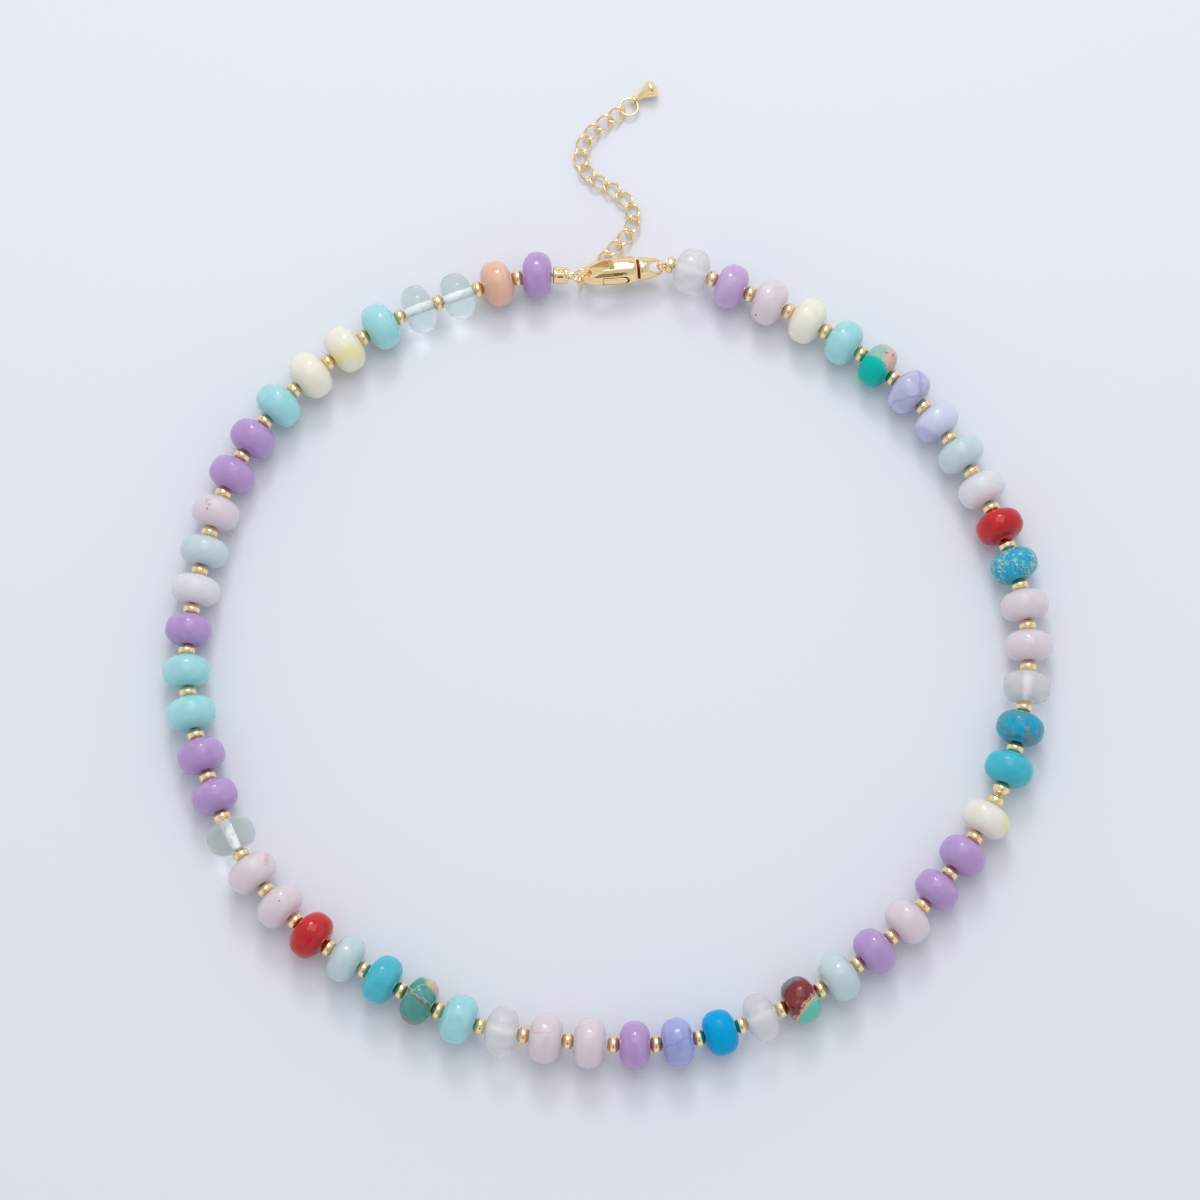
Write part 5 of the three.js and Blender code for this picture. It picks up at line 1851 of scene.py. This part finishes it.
@dataclass
class SwivelClasp:
    """The lobster clasp: its hook, its gate and its swivelling tail."""

    gold: Surface
    # Dark brown gold on the collar in the swivel groove: painted shade for the groove's depth.
    shaded_gold: Surface
    softening: Triple = (0.06, 4, 0.5)
    nose_thickness: float = 1.1
    nose_wall: float = 1.3
    arm_wall: float = 1.1
    mouth_end: float = 5.8
    tip_end: float = 3.75
    mouth_bulge: float = 0.3
    mouth_shoulder: float = 0.6
    full_round_from: float = 7.25
    gate_width: float = 1.3
    pivot: Corner = (7.3, -1.4)
    heel: float = 0.62
    swing: float = 28.0
    pin: float = 0.6
    pin_length: float = 2.3
    gap: float = 0.15
    post: float = 1.6
    post_head: float = 2.4
    post_head_thickness: float = 0.4
    post_wall: float = 0.5
    eye_thickness: float = 0.8
    eye: float = 1.7
    eye_stretch: float = 0.4
    crescent: float = 0.2
    eye_wall: float = 0.35
    cheek: float = 0.3
    collar: float = 3.3
    collar_play: float = 0.08
    margin: float = 1.0
    hook_sections: tuple[Corner, ...] = (
        (0.0, 0.02), (0.015, 0.3), (0.05, 0.5), (0.11, 0.68), (0.22, 0.83), (0.42, 0.93), (0.62, 1.0),
        (0.86, 1.0), (0.97, 0.94), (1.0, 0.88),
    )
    tail_sections: tuple[Corner, ...] = (
        (0.0, 0.8), (0.06, 0.86), (0.42, 0.77), (0.72, 0.66), (0.88, 0.52), (0.96, 0.36), (1.0, 0.2),
    )

    def body_profile(self) -> list[Corner]:
        """Draws the smooth profile of the clasp's turned body.

        Returns:
            Places along the axis and their radii.
        """
        places = np.array([(s * HOOK_LENGTH, r * CLASP_DIAMETER / 2, 0.0) for s, r in self.hook_sections])
        smooth = SmoothRoute(places).points(np.linspace(0, 1, 61))
        return [(row[0], row[1]) for row in smooth]

    def half_width(self, x: float) -> float:
        """The radius of the turned body at a place along it."""
        rows = [(s * HOOK_LENGTH, r * CLASP_DIAMETER / 2) for s, r in self.hook_sections]
        return float(np.interp(x, [row[0] for row in rows], [row[1] for row in rows]))

    def _bent(self, *corners: Corner) -> list[Corner]:
        """Draws a bend from the first corner to the last, pulled towards the middle one.

        Args:
            corners: The start, the pull and the end.

        Returns:
            Points on the bend.
        """
        (x0, y0), (x1, y1), (x2, y2) = corners
        rows = []
        for t in np.linspace(0, 1, 11):
            a, b, c = (1 - t) ** 2, 2 * t * (1 - t), t * t
            rows.append((a * x0 + b * x1 + c * x2, a * y0 + b * y1 + c * y2))
        return rows

    def _mouth(self) -> Piece:
        """Cuts out the shape of the mouth.

        Returns:
            The plate to cut away.
        """
        start, end = self.nose_wall, self.mouth_end
        middle = (start + end) / 2
        near = start + self.arm_wall
        inner = {x: self.half_width(x) - self.arm_wall for x in (near, middle, end)}
        outline = self._bent((start, 0.0), (start, -inner[near]), (near, -inner[near]))
        outline += [(middle, -inner[middle])]
        outline += self._bent(
            (end, -inner[end]), (end + self.mouth_bulge, 0.0),
            (end - self.mouth_shoulder, inner[end] * 0.75))
        outline += [(middle, inner[middle])]
        outline += self._bent((near, inner[near]), (start, inner[near]), (start, 0.0))[:-1]
        return Workshop.plate("mouth", outline, CLASP_DIAMETER + 2, False)

    def _arc(self, centre: Corner, radius: float, start: float, end: float) -> list[Corner]:
        """Draws an arc between two angles in degrees.

        Args:
            centre: The middle of the arc.
            radius: Its radius.
            start: The first angle.
            end: The last angle.

        Returns:
            Points on the arc.
        """
        return [
            (centre[0] + radius * math.cos(math.radians(a)), centre[1] + radius * math.sin(math.radians(a)))
            for a in np.linspace(start, end, 15)
        ]

    def _gate_room(self, clearance: float) -> Piece:
        """Makes the body of the gate's outline, or of its pocket with a clearance.

        Args:
            clearance: How far outside the gate it reaches.

        Returns:
            The body.
        """
        front = self.tip_end + self.gap - clearance
        heel = self.heel + clearance
        inside = -(self.half_width(self.tip_end) - self.arm_wall) + clearance
        back = self.pivot[0] + (self.crescent if clearance else 0.0)
        side = [(front, -CLASP_DIAMETER), (back + heel, -CLASP_DIAMETER)]
        side += self._arc((back, self.pivot[1]), heel, 0, 90)
        side += [(front, inside)]
        room = Workshop.plate("gate_side", side, CLASP_DIAMETER * 2, False)
        half = self.gate_width / 2 + clearance
        tongue = [(front, -half)] + self._arc((back, 0.0), half, -90, 90) + [(front, half)]
        Workshop.cut(room, Workshop.plate("gate_tongue", tongue, CLASP_DIAMETER * 2, True), "INTERSECT")
        return room

    def _pin(self, diameter: float, length: float) -> Piece:
        """Makes the gate's pivot pin.

        Args:
            diameter: The thickness.
            length: The length.

        Returns:
            The pin.
        """
        pin = Workshop.lathe("pin", [(-length / 2, diameter / 2), (length / 2, diameter / 2)], 24, False)
        pin.data.transform(Matrix.Translation((*self.pivot, 0.0)) @ Matrix.Rotation(math.pi / 2, 4, "Y"))
        return pin

    def hook(self) -> Piece:
        """Cuts the hook from its turned body.

        Returns:
            The hook in the clasp's frame, in millimetres.
        """
        body = Workshop.lathe("hook", self.body_profile(), 64, False)
        nose, full = self.nose_thickness / 2, CLASP_DIAMETER / 2 + self.margin
        end = HOOK_LENGTH + self.margin
        side = [(-self.margin, -nose), (self.nose_wall, -nose), (self.full_round_from, -full), (end, -full),
                (end, full), (self.full_round_from, full), (self.nose_wall, nose), (-self.margin, nose)]
        Workshop.cut(body, Workshop.plate("flats", side, CLASP_DIAMETER + 2, True), "INTERSECT")
        Workshop.cut(body, self._mouth(), "DIFFERENCE")
        Workshop.cut(body, self._gate_room(self.gap), "DIFFERENCE")
        Workshop.cut(body, self._sweep(), "DIFFERENCE")
        Workshop.cut(body, self._pin(self.pin + 2 * self.gap, self.pin_length + 2 * self.gap), "DIFFERENCE")
        chamber_end = HOOK_LENGTH - self.post_wall
        chamber_start = chamber_end - self.post_head_thickness - 2 * self.gap
        room = self.post_head / 2 + self.gap
        chamber = Workshop.lathe("chamber", [(chamber_start, room), (chamber_end, room)], 32, False)
        Workshop.cut(body, chamber, "DIFFERENCE")
        neck = self.post / 2 + self.gap
        bore = Workshop.lathe("neck", [(chamber_end - 0.1, neck), (end, neck)], 32, False)
        Workshop.cut(body, bore, "DIFFERENCE")
        return body

    def _sweep(self) -> Piece:
        """Makes the room that the gate swings through.

        Returns:
            The body to cut away.
        """
        inner = self.half_width(self.tip_end) - self.arm_wall
        reach = self.mouth_end - self.pivot[0]
        heel = self.heel + self.gap
        rise = -reach * math.tan(math.radians(self.swing))
        x, y = self.pivot
        outline = [
            (x, y - heel), (x, y + heel), (x + reach, y + heel / math.cos(math.radians(self.swing)) + rise),
            (x + reach - 0.5, -inner), (x + reach - 0.5, y - heel),
        ]
        return Workshop.plate("sweep", outline, self.gate_width + 2 * self.gap, False)

    def gate(self) -> Piece:
        """Cuts the gate from the same turned body.

        Returns:
            The gate in the clasp's frame, in millimetres.
        """
        body = Workshop.lathe("gate", self.body_profile(), 64, False)
        Workshop.cut(body, self._gate_room(0.0), "INTERSECT")
        Workshop.cut(body, self._pin(self.pin, self.pin_length), "UNION")
        return body

    def tail(self) -> Piece:
        """Cuts the tail with its eye and its post.

        Returns:
            The tail in the clasp's frame, in millimetres.
        """
        front = HOOK_LENGTH + SWIVEL_GAP
        end = front + TAIL_LENGTH
        places = np.array([
            (front + share * TAIL_LENGTH, part * CLASP_DIAMETER / 2, 0.0)
            for share, part in self.tail_sections])
        smooth = SmoothRoute(places).points(np.linspace(0, 1, 41))
        body = Workshop.lathe("tail", [(row[0], row[1]) for row in smooth], 64, False)
        eye_middle = end - self.eye_wall - (self.eye + self.eye_stretch) / 2
        full, thin = CLASP_DIAMETER / 2, self.eye_thickness / 2
        flat_start = end - self.eye_wall
        side = [(front - 1, -full), (front + self.cheek, -full), (flat_start, -thin), (end + 1, -thin),
                (end + 1, thin), (flat_start, thin), (front + self.cheek, full), (front - 1, full)]
        Workshop.cut(body, Workshop.plate("flats", side, CLASP_DIAMETER + 2, True), "INTERSECT")
        hole = self._arc((eye_middle - self.eye_stretch / 2, 0.0), self.eye / 2, 90, 270)
        hole += self._arc((eye_middle + self.eye_stretch / 2, 0.0), self.eye / 2, -90, 90)
        Workshop.cut(body, Workshop.plate("eye", hole, CLASP_DIAMETER, False), "DIFFERENCE")
        head_end = HOOK_LENGTH - self.post_wall - self.gap
        post = Workshop.lathe("post", [
            (head_end - self.post_head_thickness, self.post_head / 2), (head_end, self.post_head / 2),
            (head_end, self.post / 2), (front + 0.1, self.post / 2)], 32, False)
        Workshop.cut(body, post, "UNION")
        collar = Workshop.lathe("collar", [
            (HOOK_LENGTH + self.collar_play, self.collar / 2), (front + 0.1, self.collar / 2)], 48, False)
        Workshop.cut(body, collar, "UNION")
        return body

    def _on_collar(self, place: Vector) -> bool:
        """Tells whether a place lies on the collar, down in the groove, which takes the dark gold of painted
        shade.
        """
        deep = math.hypot(place.y, place.z) < self.collar / 2 + self.collar_play
        return deep and HOOK_LENGTH < place.x < HOOK_LENGTH + SWIVEL_GAP + self.collar_play

    def build(self) -> list[Piece]:
        """Builds the three parts of the clasp.

        Returns:
            The pieces, each riding on its own body.
        """
        parts = (
            (self.hook(), "hook_shell", "clasp_hook", "hook", HOOK_ROLL),
            (self.gate(), "gate_tongue", "clasp_gate", "gate", HOOK_ROLL),
            (self.tail(), "tail_eye", "clasp_tail", "necklace", TAIL_ROLL),
        )
        pieces = []
        for piece, name, node, body, roll in parts:
            Workshop.soften(piece, *self.softening)
            # The collar's faces down in the groove take the dark gold: painted shade.
            collar = [self._on_collar(face.center) for face in piece.data.polygons]
            piece.matrix_world = clasp_matrix(roll)
            bpy.context.view_layer.update()
            Workshop.finish(piece, name, [self.gold, self.shaded_gold] if any(collar) else [self.gold])
            for face, in_painted_shade in zip(piece.data.polygons, collar):
                face.material_index = int(in_painted_shade)
            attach(piece, body)
            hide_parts(node)
            pieces.append(piece)
        return pieces


@dataclass
class Studio:
    """The pale table, the soft lights and the camera."""

    floor_size: float = 3.0
    floor_colour: Colour = (0.765, 0.79, 0.865, 1.0)
    room_low: Colour = (0.86, 0.88, 0.90, 1.0)
    room_high: Colour = (0.62, 0.63, 0.65, 1.0)
    opening: Colour = (0.12, 0.08, 0.06, 1.0)
    opening_way: Triple = (0.0, -0.69, 0.72)
    opening_rim: tuple[float, float, float, float] = (3.0, 5.0, 12.0, 15.0)
    lens: float = 108.0
    sensor: float = 36.0
    camera_place: Triple = (-0.001303, -0.163389, 0.584192)
    camera_tilt: float = 15.0
    lights: tuple[tuple[str, Triple, float, float], ...] = (
        ("key_light", (-0.03, 0.6, 0.6), 0.2, 1.35),
        ("back_fill", (0.03, 0.26, 0.64), 0.5, 1.25),
    )

    def build(self) -> None:
        """Sets up the floor, the lights, the world and the camera."""
        self._floor()
        self._world()
        for name, place, size, power in self.lights:
            self._light(name, place, size, power)
        self._camera()

    def _floor(self) -> None:
        """Lays the pale floor."""
        half = self.floor_size / 2
        rim = [(-half, -half, 0), (half, -half, 0), (half, half, 0), (-half, half, 0)]
        floor = Workshop.mesh("table_top", rim, [(0, 1, 2, 3)])
        material, nodes, shader = start_material("pale_table")
        place = nodes.add("ShaderNodeTexCoord").outputs["Object"]
        noise = nodes.add("ShaderNodeTexNoise", {"Vector": place, "Scale": 6.0, "Detail": 3.0})
        paler = tuple(min(1.0, value * 1.02) for value in self.floor_colour[:3]) + (1.0,)
        colour = nodes.mix(noise.outputs["Fac"], self.floor_colour, paler)
        material.node_tree.links.new(colour, shader.inputs["Base Color"])
        shader.inputs["Roughness"].default_value = 0.7
        shader.inputs["Specular IOR Level"].default_value = 0.2
        floor.data.materials.append(material)

    def _world(self) -> None:
        """Lights the room softly from all round, with one dark-edged opening at the front."""
        world = bpy.data.worlds.new("studio")
        bpy.context.scene.world = world
        world.use_nodes = True
        nodes = Tree(world.node_tree)
        direction = nodes.add("ShaderNodeTexCoord").outputs["Generated"]
        parts = nodes.add("ShaderNodeSeparateXYZ", {"Vector": direction}).outputs
        colour = nodes.mix(nodes.ramp(parts["Z"], 0.0, 0.8), self.room_low, self.room_high)
        facing = nodes.vector("DOT_PRODUCT", direction, Vector(self.opening_way).normalized())
        angle = nodes.math("DEGREES", nodes.math("ARCCOSINE", facing))
        inner, full, last, outer = self.opening_rim
        rim = nodes.math("SUBTRACT", nodes.ramp(angle, inner, full), nodes.ramp(angle, last, outer))
        background = world.node_tree.nodes["Background"]
        world.node_tree.links.new(nodes.mix(rim, colour, self.opening), background.inputs["Color"])
        background.inputs["Strength"].default_value = 1.0

    @staticmethod
    def _light(name: str, place: tuple[float, float, float], size: float, power: float) -> None:
        """Hangs one square soft light that faces the necklace.

        Args:
            name: The light's name.
            place: Where it hangs, in metres.
            size: The length of its side.
            power: Its power in watts.
        """
        data = bpy.data.lights.new(name, "AREA")
        data.size = size
        data.energy = power
        light = bpy.data.objects.new(name, data)
        light.location = place
        light.rotation_euler = (-Vector(place)).to_track_quat("-Z", "Y").to_euler()
        bpy.context.scene.collection.objects.link(light)

    def _camera(self) -> None:
        """Sets the camera at the photograph's viewing angle."""
        data = bpy.data.cameras.new("camera")
        data.lens = self.lens
        data.sensor_width = self.sensor
        camera = bpy.data.objects.new("camera", data)
        camera.location = self.camera_place
        camera.rotation_euler = Euler((math.radians(self.camera_tilt), 0.0, 0.0))
        bpy.context.scene.collection.objects.link(camera)
        bpy.context.scene.camera = camera


def corners(bounds: tuple[Vector, Vector]) -> list[list[float]]:
    """Turns the two corners of a box into plain lists."""
    return [[float(value) for value in corner] for corner in bounds]


def main() -> None:
    """Builds every sub-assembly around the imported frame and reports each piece."""
    logging.basicConfig(level=logging.INFO, format="%(message)s")
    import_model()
    groups = {
        "cloud": StoneGroups.cloud(), "polish": StoneGroups.polish(), "spot": StoneGroups.spot(),
        "band": StoneGroups.band(), "web": StoneGroups.web(),
    }
    gold = GoldFinish().material(groups)
    # A dark reddish-brown gold: painted shade for the collar down in the swivel groove.
    shade = GoldFinish("shaded_gold", linear(128, 60, 26), linear(96, 42, 18), 0.35, 0.5)
    shaded_gold = shade.material(groups)
    thread = ThreadFinish().material(groups)
    Studio().build()
    layout = StringLayout()
    fittings = EndFittings(layout, gold)
    makers: tuple[Callable[[], list[Piece]], ...] = (
        BeadString(layout, groups, gold, thread).build,
        fittings.build,
        ExtenderChain(fittings, gold).build,
        SwivelClasp(gold, shaded_gold).build,
    )
    for make in makers:
        for piece in make():
            LOG.info("%s: %d faces", piece.name, len(piece.data.polygons))
    bpy.context.scene.view_settings.view_transform = "Standard"


if __name__ == "__main__":
    main()
